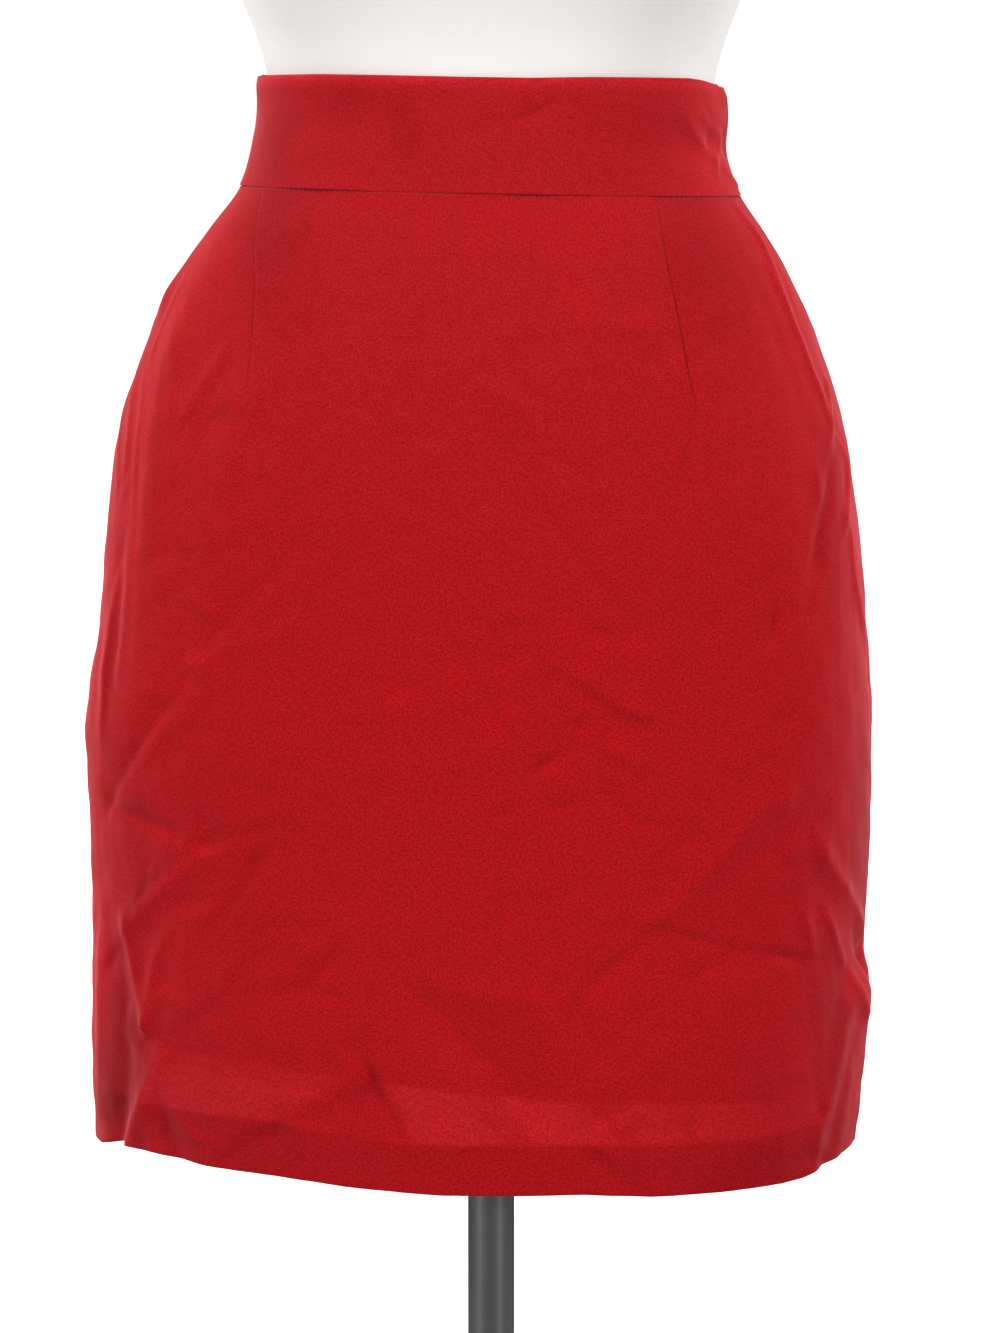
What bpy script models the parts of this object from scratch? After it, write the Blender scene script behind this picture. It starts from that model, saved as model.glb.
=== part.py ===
"""Short pencil skirt worn by a limbless dress form on a pole stand.

Frame: metres, +Z up, the front of the skirt faces -Y, the wearer's left side
is +X. The origin is on the floor, at the centre of the base's underside.

The cloth is a thin wall through horizontal sections. A section is made of
four quarter curves that meet at the two side seams and at the centre front and
centre back. Heights on the cloth are given as "drop", millimetres below the
waist seam, and places across it as millimetres from the centre line.
"""

import math

import bmesh
import bpy
import numpy as np

for old in list(bpy.data.objects):
    bpy.data.objects.remove(old, do_unlink=True)

MM = 0.001

# --- driving sizes, millimetres ---------------------------------------------
GAP = 0.3            # between neighbouring pieces
SEAM_H = 1000.0      # waist seam above the floor
BAND_H = 52.0        # height of the waistband
SKIRT_L = 448.0      # waist seam to hem
HEM_TURN = 22.0      # depth of the turned-up hem
CLOTH = 1.2          # wall of one layer of the cloth
HEM_WALL = 2.4       # wall where the hem is turned up
BAND_WALL = 2.0      # wall of the waistband: two layers and its stiffener
BAND_PROUD = 0.4     # how far the waistband stands out over the panels
SEAM_TILT = 0.0195   # the waist seam sits lower on the wearer's left
TOP_TILT = 0.008     # and so does the top edge, less
ZIP_W = 22.0         # width of the zip's tape
ZIP_WALL = 0.7
ZIP_INSET = 2.2      # tape behind the cloth's outer face
ZIP_TOP = -50.0      # drops of the zip's two ends
ZIP_END = 125.0
LINING_WALL = 1.0
LINING_TOP = 3.0
LINING_END = 404.0   # the lining ends 44 mm above the hem
TORSO_LOW = -300.0   # the form's underside, from the waist seam
NECK_TOP = 470.0
ARM_X = 165.0        # flat arm ends of the form
PLATE_T = 6.0
POLE_R = 11.0
BASE_R = 200.0
BASE_T = 6.0

# --- tables ------------------------------------------------------------------
# Sections of the cloth's outer face: half widths from the pole to the wearer's
# right and left seam, depths to the front and the back, and how square the
# quarter curves are (2 is an ellipse).
SECTION_COLUMNS = ("drop", "right_seam", "left_seam", "front", "back",
                   "sq_front_right", "sq_front_left", "sq_back")
SECTIONS = (
    (-52, 109.0, 106.5, 80.0, 84.0, 2.10, 2.10, 2.10),
    (-36, 108.5, 108.5, 80.5, 85.0, 2.10, 2.10, 2.10),
    (-20, 110.5, 108.5, 81.5, 86.0, 2.10, 2.10, 2.10),
    (0, 116.5, 115.5, 83.5, 88.0, 2.10, 2.10, 2.10),
    (20, 131.5, 129.0, 88.0, 94.0, 2.12, 2.12, 2.10),
    (45, 149.0, 142.5, 93.0, 102.0, 2.15, 2.15, 2.12),
    (75, 162.5, 154.5, 98.0, 111.0, 2.20, 2.20, 2.15),
    (110, 174.5, 164.5, 102.0, 117.0, 2.25, 2.25, 2.18),
    (150, 180.0, 171.0, 106.0, 120.0, 2.30, 2.30, 2.20),
    (200, 184.5, 175.5, 109.0, 121.0, 2.30, 2.35, 2.20),
    (245, 192.0, 177.5, 111.0, 120.0, 2.25, 2.40, 2.20),
    (290, 190.5, 177.5, 112.0, 116.0, 2.15, 2.40, 2.20),
    (340, 190.5, 176.0, 113.0, 112.0, 2.05, 2.35, 2.20),
    (400, 192.0, 176.0, 114.0, 109.0, 1.92, 2.30, 2.20),
    (448, 190.0, 172.0, 114.0, 107.0, 1.85, 2.30, 2.20),
)

# Waist darts: where each starts on the waist seam and where it ends.
DART_COLUMNS = ("panel", "across_top", "across_tip", "drop_tip")
DARTS = (
    ("front", -107.0, -99.0, 90.0),
    ("front", 89.0, 108.0, 96.0),
    ("back", -76.0, -84.0, 118.0),
    ("back", 76.0, 84.0, 118.0),
)
DART_GROOVE = 0.5    # how deep the stitched line of a dart sinks
DART_HALF = 2.0      # half width of that groove

# The largest folds of the hanging cloth: a soft ridge (+) or trough (-) along
# a line from one place on the panel to another.
FOLD_COLUMNS = ("panel", "across_0", "drop_0", "across_1", "drop_1", "width", "height")
FOLDS = (
    ("front", -116, 206, -187, 283, 13, 1.2),
    ("front", -186, 281, -120, 294, 11, -2.2),
    ("front", -122, 294, -73, 282, 11, -1.6),
    ("front", -110, 300, -172, 343, 12, 1.6),
    ("front", -172, 340, -161, 388, 11, -1.8),
    ("front", -152, 386, -186, 448, 11, 3.0),
    ("front", -136, 400, -150, 448, 12, -2.2),
    ("front", 39, 202, 99, 234, 9, -1.4),
    ("front", 161, 263, 93, 327, 13, 1.8),
    ("front", 93, 327, 57, 362, 12, 1.5),
    ("front", 100, 331, 206, 354, 12, -2.4),
    ("front", -26, 349, 40, 412, 13, -1.7),
    ("front", -37, 345, -38, 400, 12, 1.4),
    ("front", 206, 368, 176, 448, 11, 2.6),
    ("front", 190, 372, 156, 440, 12, -1.8),
    ("back", -170, 226, -96, 262, 13, -2.0),
    ("back", 166, 240, 84, 300, 14, 1.9),
    ("back", -64, 214, 40, 244, 12, -1.3),
    ("back", -120, 300, -186, 356, 13, -2.2),
    ("back", 40, 300, 150, 338, 12, -2.1),
    ("back", -40, 330, 20, 412, 13, 1.6),
    ("back", 160, 360, 138, 448, 12, 2.6),
    ("back", -150, 380, -132, 448, 12, 2.4),
    ("back", -70, 392, -58, 448, 13, -1.8),
)

# The lining hangs inside: how far behind the cloth's outer face.
LINING_COLUMNS = ("drop", "inset")
LINING = ((3, 3.3), (125, 3.3), (200, 3.3), (250, 5.0), (300, 8.0), (404, 10.0))

# The torso form, heights from the waist seam: half width, depth to the front
# and to the back, squareness. A plain figure with a closed neck and arms.
TORSO_COLUMNS = ("height", "half_width", "front", "back", "square")
TORSO = (
    (-300, 150.0, 88.0, 91.0, 2.15),
    (-297, 155.0, 93.0, 96.0, 2.15),
    (-288, 158.5, 96.5, 100.0, 2.15),
    (-260, 164.0, 100.0, 106.0, 2.18),
    (-225, 168.4, 102.6, 110.6, 2.20),
    (-190, 169.0, 103.0, 113.8, 2.20),
    (-150, 165.0, 100.6, 114.2, 2.20),
    (-110, 158.2, 96.6, 111.2, 2.18),
    (-75, 147.8, 92.2, 104.8, 2.14),
    (-45, 135.4, 87.2, 95.6, 2.10),
    (-20, 121.0, 81.8, 87.6, 2.08),
    (-10, 114.2, 79.8, 85.0, 2.07),
    (0, 108.8, 78.0, 82.4, 2.06),
    (20, 104.6, 77.0, 81.2, 2.05),
    (38, 103.4, 76.4, 80.6, 2.05),
    (52, 103.6, 76.6, 80.4, 2.05),
    (66, 107.2, 78.4, 81.6, 2.05),
    (95, 118.0, 86.0, 88.0, 2.06),
    (135, 131.0, 98.0, 95.0, 2.08),
    (178, 142.0, 111.5, 101.0, 2.12),
    (216, 150.0, 117.5, 105.0, 2.20),
    (256, 160.0, 113.5, 107.5, 2.30),
    (296, 174.0, 101.5, 105.5, 2.40),
    (330, 184.0, 87.0, 99.0, 2.45),
    (362, 188.0, 76.0, 88.0, 2.40),
    (384, 176.0, 67.0, 78.0, 2.30),
    (400, 144.0, 60.0, 70.0, 2.20),
    (412, 108.0, 56.0, 64.0, 2.10),
    (424, 80.0, 54.0, 59.0, 2.05),
    (440, 64.0, 53.0, 55.0, 2.00),
    (470, 56.0, 53.0, 53.0, 2.00),
)


# --- curves through the tables -----------------------------------------------
def smooth_rows(table, at):
    """The other columns at the first column's value, on a smooth curve."""
    rows = np.array(table, float)
    x, y = rows[:, 0], rows[:, 1:]
    step = np.diff(x)[:, None]
    slope = np.diff(y, axis=0) / step
    tangent = np.vstack([
        slope[:1],
        (slope[:-1] * step[1:] + slope[1:] * step[:-1]) / (step[1:] + step[:-1]),
        slope[-1:],
    ])
    i = int(np.clip(np.searchsorted(x, at, side="right") - 1, 0, len(x) - 2))
    h = x[i + 1] - x[i]
    t = (at - x[i]) / h
    return (
        (2 * t ** 3 - 3 * t ** 2 + 1) * y[i]
        + (t ** 3 - 2 * t ** 2 + t) * h * tangent[i]
        + (3 * t ** 2 - 2 * t ** 3) * y[i + 1]
        + (t ** 3 - t ** 2) * h * tangent[i + 1]
    )


def quarter_curve(angle, half_x, half_y, square):
    c, s = np.cos(angle), np.sin(angle)
    return (half_x * np.sign(c) * np.abs(c) ** (2 / square),
            half_y * np.sign(s) * np.abs(s) ** (2 / square))


def section_ring(drop, count=1440):
    """Closed section of the cloth, from the left seam (+X) round the back."""
    right, left, front, back, sq_fr, sq_fl, sq_b = smooth_rows(SECTIONS, drop)
    angle = np.linspace(0, 2 * np.pi, count, endpoint=False)
    c, s = np.cos(angle), np.sin(angle)
    half_x = np.where(c >= 0, left, right)
    half_y = np.where(s >= 0, back, front)
    square = np.where(s >= 0, sq_b, np.where(c >= 0, sq_fl, sq_fr))
    return np.column_stack(quarter_curve(angle, half_x, half_y, square))


ARCS = {}


def panel_arc(panel, drop):
    """Points of one panel's section and their place across it, -X to +X."""
    key = (panel, round(drop, 3))
    if key not in ARCS:
        ring = section_ring(drop)
        half = len(ring) // 2
        arc = (np.vstack([ring[half:], ring[:1]]) if panel == "front"
               else ring[: half + 1][::-1])
        length = np.append(0, np.cumsum(np.hypot(*np.diff(arc, axis=0).T)))
        across = length - np.interp(0, arc[:, 0], length)
        ARCS[key] = arc, across
    return ARCS[key]


def tilt(drop, x):
    """How much the waist sits lower on one side; gone 150 mm down."""
    if drop >= 0:
        return -x * SEAM_TILT * max(0.0, 1 - drop / 150)
    return -x * (SEAM_TILT + (TOP_TILT - SEAM_TILT) * min(1.0, -drop / BAND_H))


def fold_height(panel, across, drop):
    """Ridges and troughs of the hanging cloth, in millimetres outwards."""
    total = 0.0
    for name, a0, d0, a1, d1, width, height in FOLDS:
        if name != panel:
            continue
        run = math.hypot(a1 - a0, d1 - d0)
        ux, uy = (a1 - a0) / run, (d1 - d0) / run
        along = ((across - a0) * ux + (drop - d0) * uy) / run
        aside = -(across - a0) * uy + (drop - d0) * ux
        end = min(1.0, max(0.0, along))
        past = (along - end) * run
        swell = 0.35 + 0.65 * math.sin(math.pi * (0.12 + 0.76 * end))
        total += height * swell * math.exp(-(aside ** 2 + past ** 2) / (width ** 2))
    return total


def dart_line(panel, side, drop):
    """Place across the panel of a dart, carried on below its tip."""
    for name, top, tip, drop_tip in DARTS:
        if name == panel and (tip > 0) == (side > 0):
            if drop <= drop_tip:
                return top + (tip - top) * max(0.0, drop) / drop_tip
            _, here = panel_arc(panel, drop)
            _, there = panel_arc(panel, drop_tip)
            end = -1 if side > 0 else 0
            return tip * here[end] / there[end]
    raise ValueError(panel)


def dart_groove(panel, across, drop):
    total = 0.0
    for name, top, tip, drop_tip in DARTS:
        if name == panel and drop < drop_tip + 12:
            line = dart_line(panel, tip, min(drop, drop_tip))
            fade = min(1.0, max(0.0, (drop_tip - drop) / 20))
            total -= DART_GROOVE * fade * math.exp(-((across - line) / 1.2) ** 2)
            swell = math.exp(-(((across - line) / 22) ** 2 + ((drop - drop_tip) / 26) ** 2))
            total += 0.8 * swell
    return total


def cloth_point(panel, across, drop, shaped=True):
    """A point of the cloth's outer face, in millimetres, without offset."""
    arc, place = panel_arc(panel, drop)
    x = np.interp(across, place, arc[:, 0])
    y = np.interp(across, place, arc[:, 1])
    return np.array((x, y, SEAM_H - drop + tilt(drop, x)))


def outward(panel, across, drop):
    d_across = cloth_point(panel, across + 1, drop) - cloth_point(panel, across - 1, drop)
    d_drop = cloth_point(panel, across, drop + 1) - cloth_point(panel, across, drop - 1)
    normal = np.cross(d_across, d_drop)
    normal /= np.linalg.norm(normal)
    point = cloth_point(panel, across, drop)
    return normal if normal[0] * point[0] + normal[1] * point[1] > 0 else -normal


# --- closed meshes -----------------------------------------------------------
def wall_mesh(outer, inner, closed=False):
    """A closed wall between two grids of points of the same shape."""
    rows, cols = outer.shape[:2]
    verts = [tuple(p) for p in outer.reshape(-1, 3)] + [tuple(p) for p in inner.reshape(-1, 3)]
    shift = rows * cols

    def at(i, j, layer):
        return layer * shift + i * cols + j % cols

    faces = []
    spans = cols if closed else cols - 1
    for i in range(rows - 1):
        for j in range(spans):
            faces.append((at(i, j, 0), at(i, j + 1, 0), at(i + 1, j + 1, 0), at(i + 1, j, 0)))
            faces.append((at(i, j, 1), at(i + 1, j, 1), at(i + 1, j + 1, 1), at(i, j + 1, 1)))
    for j in range(spans):
        faces.append((at(0, j, 0), at(0, j, 1), at(0, j + 1, 1), at(0, j + 1, 0)))
        k = rows - 1
        faces.append((at(k, j, 0), at(k, j + 1, 0), at(k, j + 1, 1), at(k, j, 1)))
    if not closed:
        for i in range(rows - 1):
            faces.append((at(i, 0, 0), at(i + 1, 0, 0), at(i + 1, 0, 1), at(i, 0, 1)))
            k = cols - 1
            faces.append((at(i, k, 0), at(i, k, 1), at(i + 1, k, 1), at(i + 1, k, 0)))
    return verts, faces


def make_object(name, verts, faces, colour, roughness, metallic=0.0, sheen=0.0,
                origin=(0.0, 0.0, 0.0), sharp=35):
    """A named object with its own material; verts in millimetres."""
    bm = bmesh.new()
    placed = [bm.verts.new(tuple((c - o) * MM for c, o in zip(v, origin))) for v in verts]
    for face in faces:
        bm.faces.new([placed[i] for i in face])
    bmesh.ops.recalc_face_normals(bm, faces=bm.faces[:])
    if bm.calc_volume(signed=True) < 0:
        bmesh.ops.reverse_faces(bm, faces=bm.faces[:])
    mesh = bpy.data.meshes.new(name)
    bm.to_mesh(mesh)
    bm.free()
    mesh.shade_smooth()
    mesh.set_sharp_from_angle(angle=math.radians(sharp))
    material = bpy.data.materials.new(name)
    material.use_nodes = True
    shader = material.node_tree.nodes["Principled BSDF"]
    shader.inputs["Base Color"].default_value = (*colour, 1.0)
    shader.inputs["Roughness"].default_value = roughness
    shader.inputs["Metallic"].default_value = metallic
    shader.inputs["Sheen Weight"].default_value = sheen
    mesh.materials.append(material)
    ob = bpy.data.objects.new(name, mesh)
    ob.location = [c * MM for c in origin]
    bpy.context.scene.collection.objects.link(ob)
    return ob


def turned(name, profile, segments, centre=(0.0, 0.0), **look):
    """A turned piece: (radius, height) points from the axis round to the axis."""
    cx, cy = centre
    verts, faces, rings = [], [], []
    for radius, height in profile:
        if radius == 0:
            rings.append([len(verts)])
            verts.append((cx, cy, height))
        else:
            rings.append(list(range(len(verts), len(verts) + segments)))
            verts += [(cx + radius * math.cos(2 * math.pi * k / segments),
                       cy + radius * math.sin(2 * math.pi * k / segments), height)
                      for k in range(segments)]
    for a, b in zip(rings, rings[1:]):
        for k in range(segments):
            n = (k + 1) % segments
            if len(a) == 1:
                faces.append((a[0], b[k], b[n]))
            elif len(b) == 1:
                faces.append((a[k], b[0], a[n]))
            else:
                faces.append((a[k], b[k], b[n], a[n]))
    return make_object(name, verts, faces, **look)


# --- the skirt ---------------------------------------------------------------
RED = dict(colour=(0.47, 0.012, 0.015), roughness=0.85, sheen=0.4)


def panel_columns(panel, drop):
    """Places across the panel; three columns follow each dart."""
    _, place = panel_arc(panel, drop)
    columns = []
    for side in (-1, 1):
        line = abs(dart_line(panel, side, drop))
        end = abs(place[0] if side < 0 else place[-1]) - GAP / 2
        inner = [line * f for f in (0.0, 0.22, 0.44, 0.66, 0.84)]
        dart = [line - DART_HALF, line, line + DART_HALF]
        start = line + DART_HALF
        rest = [start + (end - start) * f for f in (0.17, 0.34, 0.5, 0.66, 0.82, 0.93, 1.0)]
        half = inner + dart + rest
        columns += [-c for c in reversed(half[1:])] if side < 0 else half
    return columns


def panel(name):
    turn = SKIRT_L - HEM_TURN
    drops = [GAP / 2, 10, 22, 36, 52, 70, 90, 112, 136, 162, 190, 216, 240, 262,
             284, 304, 324, 344, 364, 384, 405, turn - 1, turn + 1, SKIRT_L]
    outer, inner = [], []
    for drop in drops:
        wall = HEM_WALL if drop > turn else CLOTH
        row_out, row_in = [], []
        for across in panel_columns(name, drop):
            normal = outward(name, across, drop)
            lift = fold_height(name, across, drop) + dart_groove(name, across, drop)
            point = cloth_point(name, across, drop)
            flat = np.array((normal[0], normal[1], 0.0))
            flat /= np.linalg.norm(flat)
            way = flat if drop in (drops[0], drops[-1]) else normal
            row_out.append(point + way * lift)
            row_in.append(point + way * (lift - wall))
        outer.append(row_out)
        inner.append(row_in)
    verts, faces = wall_mesh(np.array(outer), np.array(inner))
    return make_object(name + "_panel", verts, faces, **RED)


def ring_points(drop, places, insets, from_gap=0.0):
    """Points on the section at arc places (0 is the left seam, round the back)."""
    ring = section_ring(drop)
    loop = np.vstack([ring, ring[:1]])
    length = np.append(0, np.cumsum(np.hypot(*np.diff(loop, axis=0).T)))
    total = length[-1]
    out = []
    for place in places:
        at = from_gap + place * (total - 2 * from_gap)
        x, y = np.interp(at, length, loop[:, 0]), np.interp(at, length, loop[:, 1])
        ahead = (np.interp((at + 0.5) % total, length, loop[:, 0]),
                 np.interp((at + 0.5) % total, length, loop[:, 1]))
        behind = (np.interp((at - 0.5) % total, length, loop[:, 0]),
                  np.interp((at - 0.5) % total, length, loop[:, 1]))
        tx, ty = ahead[0] - behind[0], ahead[1] - behind[1]
        run = math.hypot(tx, ty)
        nx, ny = ty / run, -tx / run
        z = SEAM_H - drop + tilt(drop, x)
        out.append([(x - nx * inset, y - ny * inset, z) for inset in insets])
    return np.array(out)


def waistband():
    """A straight strip round the waist, its two ends meeting at the zip."""
    places = np.linspace(0, 1, 57)
    drops = [-GAP / 2, -2, -18, -35, -50, -BAND_H]
    outer, inner = [], []
    for drop in drops:
        edge = 0.5 if drop in (drops[0], drops[-1]) else 0.0
        pair = ring_points(drop, places, (edge - BAND_PROUD, BAND_WALL - BAND_PROUD - edge), GAP)
        # the top corner of the front end sits a little lower
        corner = np.clip((places - 0.965) / 0.035, 0, 1) ** 2 * 3.0 * min(1.0, -drop / BAND_H)
        pair[:, :, 2] -= corner[:, None]
        outer.append(pair[:, 0])
        inner.append(pair[:, 1])
    verts, faces = wall_mesh(np.array(outer), np.array(inner))
    return make_object("waistband", verts, faces, **RED)


def side_zip():
    """The closed zip's tape, behind the left side seam."""
    drops = [ZIP_TOP, -35, -18, 0, 14, 30, 48, 66, 85, 105, ZIP_END]
    outer, inner = [], []
    for drop in drops:
        ring = section_ring(drop)
        total = float(np.sum(np.hypot(*np.diff(np.vstack([ring, ring[:1]]), axis=0).T)))
        row = [ring_points(drop, [(off / total) % 1.0], (ZIP_INSET, ZIP_INSET + ZIP_WALL))[0]
               for off in np.linspace(-ZIP_W / 2, ZIP_W / 2, 5)]
        outer.append([p[0] for p in row])
        inner.append([p[1] for p in row])
    verts, faces = wall_mesh(np.array(outer), np.array(inner))
    return make_object("side_zip", verts, faces, colour=(0.36, 0.008, 0.012), roughness=0.6)


def lining():
    """A plain tube inside the panels, open at the waist and at its hem."""
    drops = [LINING_TOP, 18, 38, 62, 90, 125, 165, 210, 255, 305, 355, LINING_END]
    places = np.linspace(0, 1, 37)[:-1]
    outer, inner = [], []
    for drop in drops:
        inset = float(smooth_rows(LINING, drop)[0])
        rise = smooth_rows(SECTIONS, drop + 2) - smooth_rows(SECTIONS, drop - 2)
        lean = math.hypot(1, rise[0] / 4)
        pair = ring_points(drop, places, (inset * lean, (inset + LINING_WALL) * lean))
        outer.append(pair[:, 0])
        inner.append(pair[:, 1])
    verts, faces = wall_mesh(np.array(outer), np.array(inner), closed=True)
    return make_object("lining", verts, faces, colour=(0.30, 0.006, 0.010), roughness=0.45)


# --- the form and its stand --------------------------------------------------
CREAM = dict(colour=(0.80, 0.77, 0.71), roughness=0.75)
STEEL = dict(colour=(0.11, 0.11, 0.115), roughness=0.38, metallic=0.9)


def torso(segments=40):
    """Horizontal sections of the form, cut flat where the arms would start."""
    heights = [row[0] for row in TORSO]
    verts, faces = [], []
    for height in heights:
        half_width, front, back, square = smooth_rows(TORSO, height)
        angle = np.linspace(0, 2 * np.pi, segments, endpoint=False)
        x, y = quarter_curve(angle, half_width, np.where(np.sin(angle) >= 0, back, front), square)
        x = np.clip(x, -ARM_X, ARM_X)
        verts += [(a, b, SEAM_H + height) for a, b in zip(x, y)]
    for i in range(len(heights) - 1):
        for k in range(segments):
            n = (k + 1) % segments
            faces.append((i * segments + k, i * segments + n,
                          (i + 1) * segments + n, (i + 1) * segments + k))
    faces.append(tuple(range(segments))[::-1])
    last = (len(heights) - 1) * segments
    faces.append(tuple(range(last, last + segments)))
    return make_object("form_torso", verts, faces, origin=(0, 0, SEAM_H), sharp=60, **CREAM)


def arm_plate(name, side, segments=32):
    """An oval plate that closes an arm end of the form."""
    x0 = ARM_X + GAP
    centre_y, centre_z, half_y, half_z = 5.0, SEAM_H + 328.0, 46.0, 55.0
    verts, faces = [], []
    for depth, shrink in ((0.0, 0.0), (PLATE_T - 2.0, 0.0), (PLATE_T, 2.0)):
        verts += [(side * (x0 + depth),
                   centre_y + (half_y - shrink) * math.cos(2 * math.pi * k / segments),
                   centre_z + (half_z - shrink) * math.sin(2 * math.pi * k / segments))
                  for k in range(segments)]
    for i in range(2):
        for k in range(segments):
            n = (k + 1) % segments
            faces.append((i * segments + k, i * segments + n,
                          (i + 1) * segments + n, (i + 1) * segments + k))
    faces.append(tuple(range(segments))[::-1])
    faces.append(tuple(range(2 * segments, 3 * segments)))
    return make_object(name, verts, faces, **STEEL)


def build():
    root = bpy.data.objects.new("stand_origin", None)
    bpy.context.scene.collection.objects.link(root)
    pieces = [panel("front"), panel("back"), waistband(), side_zip(), lining(), torso()]

    neck = SEAM_H + NECK_TOP + GAP
    pieces.append(turned("form_neck_cap", (
        (0, neck), (52, neck), (55, neck + 2), (55, neck + 8), (51, neck + 12),
        (30, neck + 15), (0, neck + 16)), 28, **STEEL))
    pieces.append(arm_plate("form_arm_plate_left", 1))
    pieces.append(arm_plate("form_arm_plate_right", -1))

    under = SEAM_H + TORSO_LOW - GAP
    bore = POLE_R + GAP
    pieces.append(turned("form_flange", (
        (0, under), (43, under), (45, under - 2), (45, under - 5), (43, under - 6),
        (20, under - 8), (17, under - 12), (17, under - 44), (15.5, under - 46),
        (bore, under - 46), (bore, under - 6), (0, under - 6)), 24, **STEEL))
    hub_top = BASE_T + 34
    pieces.append(turned("stand_pole", (
        (0, BASE_T + 2), (POLE_R, BASE_T + 2), (POLE_R, under - 6 - GAP),
        (0, under - 6 - GAP)), 24, **STEEL))
    pieces.append(turned("stand_base", (
        (0, 0), (BASE_R - 1, 0), (BASE_R, 1), (BASE_R, BASE_T - 2), (BASE_R - 2, BASE_T),
        (32, BASE_T), (25, BASE_T + 5), (20, BASE_T + 12), (19, hub_top - 2),
        (17.5, hub_top), (bore, hub_top), (bore, BASE_T + 2 - GAP),
        (0, BASE_T + 2 - GAP)), 40, **STEEL))
    for piece in pieces:
        piece.parent = root


build()
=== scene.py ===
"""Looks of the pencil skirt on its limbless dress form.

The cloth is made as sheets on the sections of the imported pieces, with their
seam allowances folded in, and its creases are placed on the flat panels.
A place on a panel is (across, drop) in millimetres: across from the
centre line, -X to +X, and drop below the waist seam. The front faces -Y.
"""

import math

import bpy
import numpy as np
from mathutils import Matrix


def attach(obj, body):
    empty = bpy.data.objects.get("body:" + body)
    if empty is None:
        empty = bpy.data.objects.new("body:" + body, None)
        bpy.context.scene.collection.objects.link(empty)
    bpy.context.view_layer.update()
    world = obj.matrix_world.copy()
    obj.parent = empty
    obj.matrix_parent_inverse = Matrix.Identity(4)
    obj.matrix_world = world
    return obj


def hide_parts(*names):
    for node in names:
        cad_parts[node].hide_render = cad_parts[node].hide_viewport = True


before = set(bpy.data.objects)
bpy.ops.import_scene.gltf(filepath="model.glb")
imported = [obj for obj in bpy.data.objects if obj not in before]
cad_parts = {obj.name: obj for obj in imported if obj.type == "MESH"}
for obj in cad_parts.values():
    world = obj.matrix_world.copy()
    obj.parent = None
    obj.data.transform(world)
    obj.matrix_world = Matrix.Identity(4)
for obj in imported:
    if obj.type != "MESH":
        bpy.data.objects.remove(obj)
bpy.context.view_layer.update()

MM = 0.001
SEAM_H = 1000.0
BAND_H = 52.0
SKIRT_L = 448.0
HEM_TURN = 22.0
SEAM_TILT = 0.0195
TOP_TILT = 0.008

# --- light levels ---------------------------------------------------------------
AMBIENT = 0.04          # from the room in front
BACKDROP = 1.1          # from the lit backdrop behind
LIGHTS = (
    ("top", 8.0, 61.0, 10.0, 2.0),
    ("side_right", -48.0, 10.0, 12.0, 1.42),
    ("side_left", 52.0, 10.0, 12.0, 1.22),
    ("rim_right", -112.0, 25.0, 20.0, 1.5),
    ("rim_left", 122.0, 25.0, 20.0, 1.2),
)

# --- camera: the viewing angle of the photograph -------------------------------
camera = bpy.data.objects.new("camera", bpy.data.cameras.new("camera"))
bpy.context.scene.collection.objects.link(camera)
camera.location = (0.34416, -2.17291, 1.0347)
camera.rotation_euler = (math.radians(83.35), 0.0, math.radians(8.891))
camera.data.sensor_width = 36.0
camera.data.lens = 127.74
camera.data.clip_start = 0.05
camera.data.clip_end = 200.0
bpy.context.scene.camera = camera

# --- sections of the cloth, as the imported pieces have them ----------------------
SECTION_COLUMNS = ("drop", "right_seam", "left_seam", "front", "back",
                   "sq_front_right", "sq_front_left", "sq_back")
SECTIONS = np.array((
    (-52, 109.0, 106.5, 80.0, 84.0, 2.10, 2.10, 2.10),
    (-36, 108.5, 108.5, 80.5, 85.0, 2.10, 2.10, 2.10),
    (-20, 110.5, 108.5, 81.5, 86.0, 2.10, 2.10, 2.10),
    (0, 116.5, 115.5, 83.5, 88.0, 2.10, 2.10, 2.10),
    (20, 131.5, 129.0, 88.0, 94.0, 2.12, 2.12, 2.10),
    (45, 149.0, 142.5, 93.0, 102.0, 2.15, 2.15, 2.12),
    (75, 162.5, 154.5, 98.0, 111.0, 2.20, 2.20, 2.15),
    (110, 174.5, 164.5, 102.0, 117.0, 2.25, 2.25, 2.18),
    (150, 180.0, 171.0, 106.0, 120.0, 2.30, 2.30, 2.20),
    (200, 184.5, 175.5, 109.0, 121.0, 2.30, 2.35, 2.20),
    (245, 192.0, 177.5, 111.0, 120.0, 2.25, 2.40, 2.20),
    (290, 190.5, 177.5, 112.0, 116.0, 2.15, 2.40, 2.20),
    (340, 190.5, 176.0, 113.0, 112.0, 2.05, 2.35, 2.20),
    (400, 192.0, 176.0, 114.0, 109.0, 1.92, 2.30, 2.20),
    (448, 190.0, 172.0, 114.0, 107.0, 1.85, 2.30, 2.20),
), float)

# Darts: the stitched line of each, from the waist seam to its tip.
DARTS = {
    "front": (((-107.5, 0.0), (-99.1, 45.0), (-98.5, 90.0)),
              ((88.5, 0.0), (92.7, 25.0), (96.3, 41.0), (101.4, 64.0), (108.0, 96.0))),
    "back": (((-76.0, 0.0), (-80.5, 60.0), (-84.0, 118.0)),
             ((76.0, 0.0), (80.5, 60.0), (84.0, 118.0))),
}


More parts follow.
